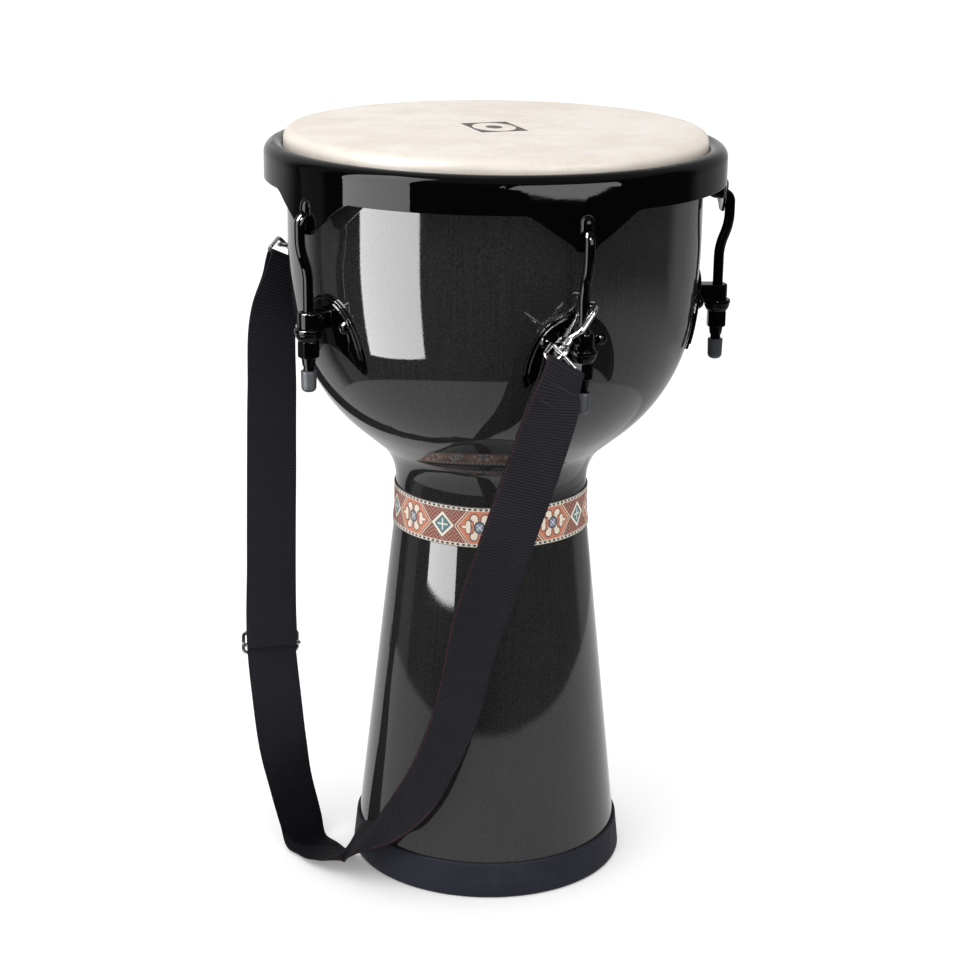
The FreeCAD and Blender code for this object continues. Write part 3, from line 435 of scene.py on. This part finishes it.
def arc(centre, radius, start, end, count):
    """Points on an arc in the (radius, height) plane, angles in degrees."""
    angles = np.radians(np.linspace(start, end, count))
    return [(centre[0] + radius * math.cos(a), centre[1] + radius * math.sin(a)) for a in angles]


def lathe(name, outline, material, segments=240, smooth_angle=40, shape=None):
    """Turns a closed (radius, height) outline in mm about the Z axis."""
    outline = [p for i, p in enumerate(outline)
               if math.dist(p, outline[i - 1]) > 0.02 or not i]
    verts, faces = [], []
    turns = np.linspace(0, 2 * math.pi, segments, endpoint=False)
    for r, z in outline:
        for turn in turns:
            point = Vector((r * math.cos(turn), r * math.sin(turn), z))
            verts.append((shape(point) if shape else point) * MM)
    rows = len(outline)
    for i in range(rows):
        low, high = i * segments, ((i + 1) % rows) * segments
        for j in range(segments):
            k = (j + 1) % segments
            faces.append((low + j, low + k, high + k, high + j))
    return add_mesh(name, verts, faces, material, smooth_angle)


# The shell's outside, in mm: a straight side under the head, then a side arc, a belly arc and a
# flare arc down to the waist, then the stem's cone down to the foot.
HEAD_RADIUS = 149.6
SIDE_LOW = 482.4
SIDE_ARC = 428.0
BELLY_ARC = 127.6
FLARE_ARC = 37.4
FLARE_TOP = 298.9
SIDE_ANGLE = 8.33
BELLY_ANGLE = 49.9
WAIST_RADIUS = 71.3
WAIST_LOW = 276.0
STEM_RADIUS = 101.1
STEM_LOW = 4.0
WALL = 6.5

# The bearing edge at the top of the shell, and the middle of its outer rounding.
EDGE_TOP = 556.0
EDGE_ROUND = 5.0
EDGE_MIDDLE = (HEAD_RADIUS - EDGE_ROUND, EDGE_TOP - EDGE_ROUND)

# The head: the skin's underside, thickness and swell, and the collar round the hidden hoop.
SKIN_UNDER = 556.15
SKIN_THICK = 2.15
SKIN_SWELL = 0.75
COLLAR_INSIDE, COLLAR_FACE = 149.75, 151.9
COLLAR_LOW = 528.0
HOOP_INSIDE, HOOP_OUTSIDE, HOOP_TOP = 153.6, 158.9, 536.1
FOLD = 1.3

# The ribbon round the waist, and the glue under it and under the foot ring.
BAND_LOW, BAND_HIGH = 264.5, 294.8
BAND_THICK = 0.95
GLUE = 0.1

# The foot ring's tread at the floor, and its upper lip.
FOOT_INSIDE = 93.2
TREAD = (94.5, 99.0)
TREAD_ROUND = 2.5
LIP_HIGH = 25.7
LIP_ROUND = 1.15


def bowl_outline(out):
    """The bowl from its straight side down to the waist, in mm, moved outwards."""
    side = (HEAD_RADIUS - SIDE_ARC, SIDE_LOW)
    reach, steep = SIDE_ARC - BELLY_ARC, math.radians(SIDE_ANGLE)
    belly = (side[0] + reach * math.cos(steep), side[1] - reach * math.sin(steep))
    flare = (WAIST_RADIUS + FLARE_ARC, FLARE_TOP)
    points = arc(side, SIDE_ARC + out, 0, -SIDE_ANGLE, 10)
    points += arc(belly, BELLY_ARC + out, -SIDE_ANGLE, -BELLY_ANGLE, 34)
    points += arc(flare, FLARE_ARC - out, 180 - BELLY_ANGLE, 180, 26)
    return points


def spread(start, end, count):
    """Evenly spaced points on a straight line."""
    return [(start[0] + (end[0] - start[0]) * t, start[1] + (end[1] - start[1]) * t)
            for t in np.linspace(0, 1, count)]


def stem_radius(height, out=0.0):
    """Radius of the stem's cone at a height, in mm, moved outwards."""
    slope = (STEM_RADIUS - WAIST_RADIUS) / (WAIST_LOW - STEM_LOW)
    return WAIST_RADIUS + slope * (WAIST_LOW - height) + out


def make_shell(material):
    """Bowl, waist and stem in one turned wall, with its rounded bearing edge."""
    inside, foot = HEAD_RADIUS - WALL, STEM_LOW + 0.6
    outer = spread((HEAD_RADIUS, EDGE_MIDDLE[1]), (HEAD_RADIUS, SIDE_LOW), 12)
    outer += bowl_outline(0)
    outer += spread((WAIST_RADIUS, WAIST_LOW), (STEM_RADIUS, foot), 40)
    outer += [(STEM_RADIUS - 0.3, STEM_LOW + 0.1), (STEM_RADIUS - 0.9, STEM_LOW)]
    inner = [(STEM_RADIUS - WALL, STEM_LOW)]
    inner += spread((STEM_RADIUS - WALL, foot), (WAIST_RADIUS - WALL, WAIST_LOW), 30)
    inner += bowl_outline(-WALL)[::-1] + spread((inside, SIDE_LOW), (inside, EDGE_TOP - 4), 10)
    edge = [(inside + 0.1, EDGE_TOP - 1.8), (EDGE_MIDDLE[0], EDGE_TOP)]
    edge += arc(EDGE_MIDDLE, EDGE_ROUND, 88, 2, 9)
    shell = lathe("fibreglass_shell", outer + inner + edge, material)
    dress(shell, "drum", "shell", "shell")


def dress(piece, body, slot, *replaced):
    """Sets the body a piece rides on and hides the CAD nodes it stands in for; slot is not used."""
    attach(piece, body)
    if replaced:
        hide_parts(*replaced)


def make_skin(material):
    """The head: nearly flat, pulled over the edge, and tucked round the hidden hoop.

    Its rim has small creases.
    """
    upper, flat = SKIN_UNDER + SKIN_THICK, 144.0
    outline = [(0.01, upper + SKIN_SWELL)]
    outline += [(r, upper + SKIN_SWELL * (1 - (r / flat) ** 2)) for r in np.linspace(6, 143.5, 40)]
    outline += arc(EDGE_MIDDLE, COLLAR_FACE - EDGE_MIDDLE[0], 88, 0, 12)
    outline += spread((COLLAR_FACE, 549.0), (COLLAR_FACE, 531.0), 8)
    hoop_low, outside = COLLAR_LOW + FOLD, HOOP_OUTSIDE + FOLD
    outline += [(COLLAR_FACE, hoop_low), (HOOP_OUTSIDE, hoop_low), (HOOP_OUTSIDE, HOOP_TOP)]
    outline += [(HOOP_INSIDE, HOOP_TOP), (HOOP_INSIDE, HOOP_TOP + FOLD)]
    outline += [(outside, HOOP_TOP + FOLD), (outside, COLLAR_LOW), (COLLAR_INSIDE, COLLAR_LOW)]
    outline += spread((COLLAR_INSIDE, 530.0), (COLLAR_INSIDE, 549.0), 6)
    outline += arc(EDGE_MIDDLE, COLLAR_INSIDE - EDGE_MIDDLE[0], 0, 90, 8)
    outline += [(r, SKIN_UNDER) for r in np.linspace(138, 4, 12)] + [(0.01, SKIN_UNDER)]

    def crease(point):
        turn = math.atan2(point.y, point.x)
        reach = math.hypot(point.x, point.y)
        pull = max(0.0, min(1.0, (reach - 146.0) / EDGE_ROUND)) * (point.z > HOOP_TOP + 2.9)
        wave = math.sin(turn * 31) * 0.5 + math.sin(turn * 53 + 1.7) * 0.35
        scale = 1 + pull * 0.0011 * wave
        return Vector((point.x * scale, point.y * scale, point.z))

    skin = lathe("goatskin_head", outline, material, 300, 50, crease)
    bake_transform(skin)
    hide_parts("drumhead_skin")


def make_band(material):
    """The ribbon glued round the waist, following the cone's start at its lower edge."""
    inside, face = WAIST_RADIUS + GLUE, WAIST_RADIUS + GLUE + BAND_THICK
    low_inside, low_face = stem_radius(BAND_LOW, GLUE), stem_radius(BAND_LOW, 0.7)
    inner = [(low_inside, BAND_LOW), (inside, WAIST_LOW), (inside, BAND_HIGH)]
    outer = [(inside + 0.6, BAND_HIGH), (face, BAND_HIGH - 0.35)]
    outer += spread((face, BAND_HIGH - 1.2), (face, WAIST_LOW), 6)
    under, edge = WAIST_LOW - 0.1, BAND_LOW + 0.35
    outer += spread((stem_radius(under, GLUE + BAND_THICK), under),
                    (stem_radius(edge, GLUE + BAND_THICK), edge), 4)
    outer += [(low_face, BAND_LOW)]
    band = lathe("ribbon_band", inner + outer, material, 240, 50)
    dress(band, "drum", "ribbon", "waist_band")


def make_foot(material):
    """The moulded rubber foot ring, with a fine step above its tread."""
    step, lip = LIP_HIGH - 2.1, stem_radius(LIP_HIGH - 0.1, 0.95)
    outline = [(FOOT_INSIDE, 0.0)] + spread((TREAD[0], 0.0), (TREAD[1], 0.0), 3)
    outline += arc((TREAD[1] + 1.8, TREAD_ROUND), TREAD_ROUND, -90, 0, 7)
    outline += spread((103.1, 2 * TREAD_ROUND), (stem_radius(step, 2.15), step), 8)
    outline += arc((lip, LIP_HIGH), LIP_ROUND, 0, 90, 6)
    outline += [(stem_radius(27.0, 0.12), LIP_HIGH + LIP_ROUND)]
    outline += spread((stem_radius(25.0, GLUE), 25.0), (stem_radius(STEM_LOW, GLUE), 3.9), 5)
    outline += [(FOOT_INSIDE, 3.9)]
    foot = lathe("rubber_foot_ring", outline, material)
    dress(foot, "drum", "rubber_foot", "foot_ring")


# ---------------------------------------------------------------- strap


class Path:
    """A smooth run of points, each with the way the webbing's width points.

    A row is a point, the width's direction, the width, and how far the width is squared to the
    path: 1 is square, and 0 keeps it along a ring's wire where the webbing runs up at a slant.
    """

    def __init__(self, rows):
        self.points = np.array([row[0] for row in rows], float)
        self.wides = np.array([unit(row[1]) for row in rows])
        self.widths = np.array([row[2] if len(row) > 2 else WEB_WIDTH for row in rows])
        self.square = np.array([row[3] if len(row) > 3 else 1.0 for row in rows])
        steps = np.linalg.norm(np.diff(self.points, axis=0), axis=1)
        self.knots = np.concatenate([[0], np.cumsum(steps)])

    def sample(self, step):
        """Points, width directions, headings and widths at even steps along the run."""
        count = max(8, int(self.knots[-1] / step))
        at = np.linspace(0, self.knots[-1], count + 1)
        points = smooth(self.knots, self.points, at)
        wides = smooth(self.knots, self.wides, at)
        widths = np.interp(at, self.knots, self.widths)
        heading = np.gradient(points, axis=0)
        heading /= np.linalg.norm(heading, axis=1)[:, None]
        square = np.interp(at, self.knots, self.square)
        wides -= heading * (square * np.sum(wides * heading, axis=1))[:, None]
        wides /= np.linalg.norm(wides, axis=1)[:, None]
        return points, wides, heading, widths


def unit(v):
    """The vector at length 1."""
    v = np.array(v, float)
    return v / np.linalg.norm(v)


def smooth(knots, rows, at):
    """Cubic interpolation with finite-difference slopes, in any number of dimensions."""
    slopes = np.gradient(rows, knots, axis=0)
    index = np.clip(np.searchsorted(knots, at) - 1, 0, len(knots) - 2)
    span = knots[index + 1] - knots[index]
    t = ((at - knots[index]) / span)[:, None]
    a, b = rows[index], rows[index + 1]
    ma, mb = slopes[index] * span[:, None], slopes[index + 1] * span[:, None]
    h1 = 2 * t**3 - 3 * t**2 + 1
    h2 = t**3 - 2 * t**2 + t
    h3 = -2 * t**3 + 3 * t**2
    h4 = t**3 - t**2
    return h1 * a + h2 * ma + h3 * b + h4 * mb


def web_section():
    """The webbing's cross section: shares of the half width, and heights in mm."""
    top = [(s, WEB_HALF * (1.0 if abs(s) < 0.97 else 0.82)) for s in np.linspace(-0.985, 0.985, 15)]
    return top + [(1.0, 0.0)] + [(s, -h) for s, h in top[::-1]] + [(-1.0, 0.0)]


def make_web(name, path, material):
    """Webbing along a path, with a slight twist to and fro; UVs are in mm."""
    points, wides, heading, widths = path.sample(1.6)
    section = web_section()
    verts, uvs, faces = [], [], []
    run = np.concatenate([[0], np.cumsum(np.linalg.norm(np.diff(points, axis=0), axis=1))])
    for i in range(len(points)):
        normal = np.cross(heading[i], wides[i])
        wobble = 0.16 * math.sin(run[i] * 0.045) + 0.10 * math.sin(run[i] * 0.117 + 1)
        for share, height in section:
            lift = height + wobble * share
            offset = wides[i] * share * widths[i] / 2 + normal * lift
            verts.append((points[i] + offset) * MM)
            uvs.append((share * WEB_WIDTH / 2, run[i]))
    across = len(section)
    for i in range(len(points) - 1):
        for j in range(across):
            k = (j + 1) % across
            low, high = i * across, (i + 1) * across
            faces.append((low + j, high + j, high + k, low + k))
    last = (len(points) - 1) * across
    faces.append(tuple(range(across)))
    faces.append(tuple(last + j for j in range(across))[::-1])
    return add_mesh(name, verts, faces, material, 50, uvs)


# Base middle and base direction of each ring, in mm.
RING_FRONT = (np.array((46.64, -183.96, 428.08)), unit((0.665, 0.565, -0.49)))
RING_BACK = (np.array((-155.80, 56.25, 448.52)), unit((0.653, 0.637, -0.41)))

# The middle of the webbing from the back ring down past the slide, along the floor and up to
# the front ring: point, and the direction of the width (always towards the same edge).
RUN = [
    ((-165, 46, 412), (0.80, 0.50, -0.20)),
    ((-167, 37, 350), (0.93, 0.35, 0.0)),
    ((-167.4, 30, 292), (0.95, 0.30, 0.0)),
    ((-167.8, 21, 220), (0.96, 0.28, 0.0)),
    ((-168, 13, 156), (0.96, 0.28, 0.0)),
    ((-164, 10, 112), (0.96, 0.20, 0.07)),
    ((-158.9, 1, 77), (0.93, 0.35, 0.09)),
    ((-152.6, -3, 45.6), (0.79, 0.59, 0.13)),
    ((-144.5, -10.3, 17.6), (0.79, 0.61, -0.04)),
    ((-139.6, -18.1, 3.2), (0.75, 0.66, -0.04)),
    ((-130.3, -28.4, 2.2), (0.77, 0.63, -0.06)),
    ((-122.1, -40.1, 3.0), (0.82, 0.57, -0.10)),
    ((-112.3, -51.2, 7.7), (0.69, 0.71, -0.12)),
    ((-101.6, -58.3, 21.7), (0.28, 0.87, 0.40)),
    ((-91.0, -71.7, 33.0), (0.45, 0.80, 0.39)),
    ((-70.9, -81.3, 50.6), (-0.16, 0.89, 0.42)),
    ((-50.2, -87.8, 77.1), (-0.52, 0.72, 0.46)),
    ((-35.1, -94.7, 110.8), (-0.66, 0.65, 0.37)),
    ((-21.5, -103.7, 153.5), (-0.80, 0.50, 0.33)),
    ((-11.1, -120.4, 209.5), (-0.88, 0.41, 0.24)),
    ((8, -142, 281), (-0.99, -0.05, 0.0)),
    ((28, -160, 350), (-0.95, -0.10, 0.10)),
    ((40, -174, 396), (-0.80, -0.35, 0.25)),
]
SLIDE = 4       # the run's point under the slide's bar
BAR_LIFT = 3.7  # from the webbing's middle to the bar's
BAR_TURN = 2.1  # from the bar's middle to the middle of the webbing folded round it
WEB_WIDTH = 38.0
WEB_HALF = 0.75


class Loop:
    """The webbing's turn over a ring's base wire, and its rows just below it."""

    def __init__(self, base, along, target, rising):
        self.base, self.along = base, along
        reach = np.array(target, float) - base
        lean = reach.dot(along)
        self.away = unit(reach - along * lean)
        self.slant = self.away + along * (lean / reach.dot(self.away))
        self.face = unit(np.cross(self.away, along)) * (-1 if rising else 1)

    def turn(self, reach=2.3, width=36.5):
        """Rows over the wire, from the webbing's face to its back."""
        rows = []
        for angle in np.radians((0, 30, 60, 90, 120, 150, 180)):
            offset = self.face * math.cos(angle) - self.away * math.sin(angle)
            rows.append((self.base + offset * reach, self.along, width, 0.0))
        return rows

    def below(self, down, out, width=37.3, square=0.0):
        """A row so far down from the wire and out from the loop's middle plane."""
        return (self.base + self.slant * down + self.face * out, self.along, width, square)


def offset_rows(rows, lift):
    """Rows moved towards the webbing's face by a lift in mm for each row."""
    points = np.array([row[0] for row in rows], float)
    heading = np.gradient(points, axis=0)
    moved = []
    for i, row in enumerate(rows):
        face = unit(np.cross(heading[i], np.array(row[1], float)))
        width = row[2] if len(row) > 2 else WEB_WIDTH
        moved.append((points[i] + face * lift[i], row[1], width))
    return moved


def make_strap(material, sewing):
    """The long run, looped over both rings, and the layer that folds round the slide's bar."""
    back = Loop(*RING_BACK, RUN[0][0], False)
    front = Loop(RING_FRONT[0], -RING_FRONT[1], RUN[-1][0], True)
    lifts = [-WEB_HALF, -0.7, -0.7, -0.55] + [0.0] * (len(RUN) - 5) + [0.7]
    rows = back.turn() + [back.below(5, -2.1), back.below(15, -1.2, 37.6, 0.4)]
    rows += offset_rows(RUN, lifts) + [front.below(15, 1.2, 37.6, 0.3), front.below(5, 2.1)]
    rows += front.turn() + [front.below(5, -2.1), front.below(15, -1.2, 37.6, 0.3)]
    tail = offset_rows(RUN, [-0.85] * len(RUN))
    rows += [tail[-1], tuple((np.array(p) + q) / 2 for p, q in zip(tail[-1][:2], tail[-2][:2]))]
    run = make_web("strap_long_run", Path(rows), material)
    dress(run, "strap", "webbing", "strap_webbing")

    down = offset_rows(RUN[: SLIDE + 1], [WEB_HALF] * 3 + [0.95, BAR_LIFT + BAR_TURN])
    bar = np.array(RUN[SLIDE][0], float)
    wide = np.array(RUN[SLIDE][1])
    up = unit(np.array(RUN[SLIDE - 1][0], float) - bar)
    out = unit(np.cross(-up, wide))
    fold = [(bar + out * (BAR_LIFT * 0.42 + 1.3) + up * 26, wide)]
    for angle in np.radians((0, 35, 70, 105, 140, 180)):
        turn = out * math.cos(angle) - up * math.sin(angle)
        fold.append((bar + out * BAR_LIFT + turn * BAR_TURN, wide))
    fold.append((bar + out * 1.35 + up * 12, wide))
    fold.append((bar + out * 1.2 + up * 30, wide))
    rows = [back.below(0, 2.3, 36.5), back.below(5, 2.1), back.below(15, 1.2, 37.6, 0.4)]
    layer = make_web("strap_upper_layer", Path(rows + down[:-1] + fold), material)
    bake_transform(layer)
    for name, lift in (("front_stitches_low", 27), ("front_stitches_high", 13)):
        spot = front.base + front.slant * lift + front.face * (1.32 + 0.02 * (27 - lift))
        dress(make_stitches(name, spot, front.along, front.face, sewing), "strap", "webbing")


def make_stitches(name, middle, along, face, material):
    """One sewn row across the webbing: short thread humps, each a little bead of thread."""
    along, face = unit(along), unit(face)
    down = unit(np.cross(along, face))
    verts, faces = [], []
    for place in np.arange(-15.5, 15.6, 2.6):
        first = len(verts)
        for t in np.linspace(-1, 1, 7):
            hump = math.sqrt(max(0.0, 1 - t * t))
            centre = middle + along * (place + 0.95 * t) + face * (0.10 + 0.28 * hump)
            for turn in np.radians(np.arange(0, 360, 60)):
                ring = (face * math.cos(turn) + down * math.sin(turn)) * (0.06 + 0.22 * hump)
                verts.append((centre + ring) * MM)
        for i in range(6):
            for j in range(6):
                k = (j + 1) % 6
                low, high = first + i * 6, first + i * 6 + 6
                faces.append((low + j, low + k, high + k, high + j))
        faces.append(tuple(range(first + 5, first - 1, -1)))
        faces.append(tuple(range(first + 36, first + 42)))
    return add_mesh(name, verts, faces, material, 60)


# ---------------------------------------------------------------- CAD nodes that stay


def paint_nodes(materials, hardware):
    """Gives every carried-over CAD node its material, and links the black steel ones but the
    counterhoop to the hardware collection.
    """
    for name, node in NODES.items():
        if node.hide_render:
            continue
        kind = next(k for k in materials if name.startswith(k))
        node.data.materials.clear()
        node.data.materials.append(materials[kind])
        if SLOTS[kind] == "black_steel" and kind != "counterhoop":
            hardware.objects.link(node)


SLOTS = {
    "counterhoop": "black_steel", "tuning_hook": "black_steel", "tuning_nut": "black_steel",
    "domed_washer": "black_steel", "side_plate": "black_steel", "plate_bolts": "black_steel",
    "plate_bolt_nuts": "zinc", "backing_plate": "zinc", "flesh_hoop": "hoop_steel",
    "rod_cap": "cap_rubber", "snap": "chrome", "strap_ring": "chrome", "strap_slide": "chrome",
}


# ---------------------------------------------------------------- studio


def ray_start(tree):
    """Where the ray that hits a card set off from: x, y and z."""
    geometry = tree.nodes.new("ShaderNodeNewGeometry")
    length = Value(tree, tree.nodes.new("ShaderNodeLightPath").outputs["Ray Length"])
    parts = []
    for output in ("Position", "Incoming"):
        split = tree.nodes.new("ShaderNodeSeparateXYZ")
        tree.links.new(geometry.outputs[output], split.inputs[0])
        parts.append([Value(tree, socket) for socket in split.outputs])
    return [at + way * length for at, way in zip(*parts)]


# Heights in metres that part the stem from the bowl, and the head from the rest.
STEM_TOP = 0.29
HEAD_LEVEL = 0.5555


def emitter(name, size, place, target, strength, shade=1.0, disc=0.0):
    """A glowing card that shows only in reflections; it faces the target.

    A card glows only for rays from the head and from the drum's front half, so that its glare
    doesn't wash out the outline from behind. A disc shows the stem its whole face, and the rest
    of the drum only its middle. Shade is the brightness of the card's far edge against its near
    one, and disc is the middle's radius.
    """
    if disc:
        bpy.ops.mesh.primitive_circle_add(vertices=96, radius=0.5, fill_type="NGON")
    else:
        bpy.ops.mesh.primitive_plane_add(size=1)
    card = bpy.context.object
    card.name = name
    card.scale = (size[0], size[1], 1)
    card.location = place
    card.rotation_euler = (Vector(target) - Vector(place)).to_track_quat("Z", "Y").to_euler()
    glow = bpy.data.materials.new(name)
    glow.use_nodes = True
    tree = glow.node_tree
    tree.nodes.clear()
    output = tree.nodes.new("ShaderNodeOutputMaterial")
    light = tree.nodes.new("ShaderNodeEmission")
    coords = tree.nodes.new("ShaderNodeTexCoord")
    split = tree.nodes.new("ShaderNodeSeparateXYZ")
    start = ray_start(tree)
    if disc:
        tree.links.new(coords.outputs["Object"], split.inputs[0])
        x, y = Value(tree, split.outputs[0]), Value(tree, split.outputs[1])
        radius = (x * x + y * y).node("SQRT") * size[0]
        seen = (radius < disc).either(start[2] < STEM_TOP)
        light.inputs["Strength"].default_value = strength
    else:
        tree.links.new(coords.outputs["UV"], split.inputs[0])
        across = Value(tree, split.outputs[0])
        seen = (start[1] < -0.025).either(start[2] > HEAD_LEVEL)
        power = (across * (shade - 1) + 1) * strength
        tree.links.new(power.socket, light.inputs["Strength"])
    mixer = tree.nodes.new("ShaderNodeMixShader")
    tree.links.new(seen.socket, mixer.inputs[0])
    tree.links.new(tree.nodes.new("ShaderNodeBsdfTransparent").outputs[0], mixer.inputs[1])
    tree.links.new(light.outputs[0], mixer.inputs[2])
    tree.links.new(mixer.outputs[0], output.inputs[0])
    card.data.materials.append(glow)
    card.visible_diffuse = False
    card.visible_shadow = False
    card.visible_camera = False
    card.visible_transmission = False


def make_world():
    """White for the camera and for soft light; reflections see a dark room with paler sides."""
    world = bpy.data.worlds.new("studio")
    SCENE.world = world
    world.use_nodes = True
    tree = world.node_tree
    tree.nodes.clear()
    output = tree.nodes.new("ShaderNodeOutputWorld")
    plain = tree.nodes.new("ShaderNodeBackground")
    mirror = tree.nodes.new("ShaderNodeBackground")
    mixer = tree.nodes.new("ShaderNodeMixShader")
    path = tree.nodes.new("ShaderNodeLightPath")
    plain.inputs["Color"].default_value = (1, 1, 1, 1)
    plain.inputs["Strength"].default_value = 1.0
    coords = tree.nodes.new("ShaderNodeTexCoord")
    split = tree.nodes.new("ShaderNodeSeparateXYZ")
    tree.links.new(coords.outputs["Generated"], split.inputs[0])
    x, y, z = (Value(tree, socket) for socket in split.outputs)
    # Degrees round the room: 0 straight in front of the drum, and positive to its right.
    turn = x.node("ARCTAN2", y * -1) * (180 / math.pi)

    def step(value, low, high):
        mapper = tree.nodes.new("ShaderNodeMapRange")
        mapper.interpolation_type = "SMOOTHSTEP"
        tree.links.new(value.socket, mapper.inputs["Value"])
        mapper.inputs["From Min"].default_value = low
        mapper.inputs["From Max"].default_value = high
        return Value(tree, mapper.outputs["Result"])

    right = step(turn, 107, 120) * 0.48 + step(turn, 150, 172) * 0.4
    left = step(turn * -1, 110, 130) + step(turn * -1, 90, 94) * step(turn, -112, -108) * 0.33
    above = step(z, 0.45, 0.75) * 0.55
    low = step(turn, 38, 60) * step(z * -1, 0.2, 0.4) * 0.7
    tone = right.either(left).either(above).either(low) * 0.93 + 0.05
    tree.links.new(tone.socket, mirror.inputs["Strength"])
    tree.links.new(path.outputs["Is Glossy Ray"], mixer.inputs[0])
    tree.links.new(plain.outputs[0], mixer.inputs[1])
    tree.links.new(mirror.outputs[0], mixer.inputs[2])
    tree.links.new(mixer.outputs[0], output.inputs[0])


def make_floor():
    """A pale floor that catches a faint shadow and stays out of the reflections."""
    bpy.ops.mesh.primitive_plane_add(size=24)
    floor = bpy.context.object
    floor.name = "floor"
    made = Material("pale_floor", (0.97, 0.97, 0.97), 0.9)
    haze = made.noise(3, 2, 0.5)
    made.set("Base Color", made.mix(haze, (0.965, 0.965, 0.965), (0.975, 0.975, 0.975)))
    made.set("Specular IOR Level", 0.0)
    made.set("Emission Color", (1, 1, 1, 1))
    made.set("Emission Strength", 0.2)
    floor.data.materials.append(made.material)
    floor.visible_glossy = False


def make_lights(hardware):
    """Cards for the gloss to reflect, a soft key, and two lamps for the black steel alone."""
    emitter("window_card", (0.37, 1.33), (-0.493, -0.378, 0.80), (0, 0, 0.80), 12.2, 1.15)
    emitter("high_card", (0.82, 0.5), (0.494, -0.76, 0.656), (0, 0, 0.656), 12)
    emitter("floor_card", (1.5, 1.5), (0, 0, -0.004), (0, 0, 1), 0.85, disc=0.57)
    key = lamp("key", 7, (1.2, 1.2), (-0.9, -1.0, 1.7), (0, 0, 0.35))
    key.visible_glossy = False
    glint = lamp("hardware_glint", 380, (0.34, 1.2), (-0.52, -0.36, 0.72), (0, 0, 0.5))
    glint.visible_diffuse = False
    glint.light_linking.receiver_collection = hardware
    spark = lamp("hardware_spark", 90, (0.35, 0.35), (0.25, -1.3, 1.2), (0, 0, 0.45))
    spark.visible_diffuse = False
    spark.light_linking.receiver_collection = hardware


def lamp(name, power, size, place, target):
    """A rectangular lamp in watts, aimed at a target."""
    data = bpy.data.lights.new(name, "AREA")
    data.shape = "RECTANGLE"
    data.energy = power
    data.size, data.size_y = size
    light = bpy.data.objects.new(name, data)
    light.location = place
    light.rotation_euler = (Vector(target) - light.location).to_track_quat("-Z", "Y").to_euler()
    SCENE.collection.objects.link(light)
    return light


# The camera's place in metres, and its turns in radians.
CAMERA_PLACE = (0, -1.6066, 0.7848)
CAMERA_LENS = 84.06
YAW, PITCH, ROLL = -0.0051, 0.2966, 0.0132


def make_camera():
    """A long lens a little above the head, looking slightly down."""
    level = math.cos(PITCH)
    forward = Vector((math.sin(YAW) * level, math.cos(YAW) * level, -math.sin(PITCH)))
    right = Vector((math.cos(YAW), -math.sin(YAW), 0))
    up = right.cross(forward)
    tilted = right * math.cos(ROLL) + up * math.sin(ROLL)
    upright = up * math.cos(ROLL) - right * math.sin(ROLL)
    data = bpy.data.cameras.new("camera")
    data.sensor_width = 36.0
    data.lens = CAMERA_LENS
    data.clip_start = 0.05
    camera = bpy.data.objects.new("camera", data)
    turn = Matrix((tilted, upright, -forward)).transposed().to_4x4()
    camera.matrix_world = Matrix.Translation(CAMERA_PLACE) @ turn
    SCENE.collection.objects.link(camera)
    SCENE.camera = camera


def main():
    """Builds every piece, then the studio round it."""
    hardware = bpy.data.collections.new("hardware")
    black = black_paint()
    chrome = metal("polished_chrome", (0.46, 0.46, 0.47), 0.12)
    zinc = metal("zinc_plate", (0.55, 0.55, 0.53), 0.35)
    steel = metal("plain_steel", (0.45, 0.45, 0.45), 0.4)
    make_shell(fibreglass())
    make_skin(goatskin())
    make_band(ribbon())
    make_foot(rubber("foot_rubber", (0.0125, 0.0130, 0.0215), shine=0.15))
    make_strap(webbing(), thread())
    paint_nodes({
        "counterhoop": black, "tuning_hook": black, "tuning_nut": black, "domed_washer": black,
        "side_plate": black, "plate_bolts": black, "plate_bolt_nuts": zinc, "backing_plate": zinc,
        "flesh_hoop": steel, "rod_cap": rubber("cap_rubber", (0.030, 0.034, 0.042), 0.45),
        "snap": chrome, "strap_ring": chrome, "strap_slide": chrome,
    }, hardware)
    make_world()
    make_floor()
    make_lights(hardware)
    make_camera()
    SCENE.view_settings.view_transform = "Standard"


main()
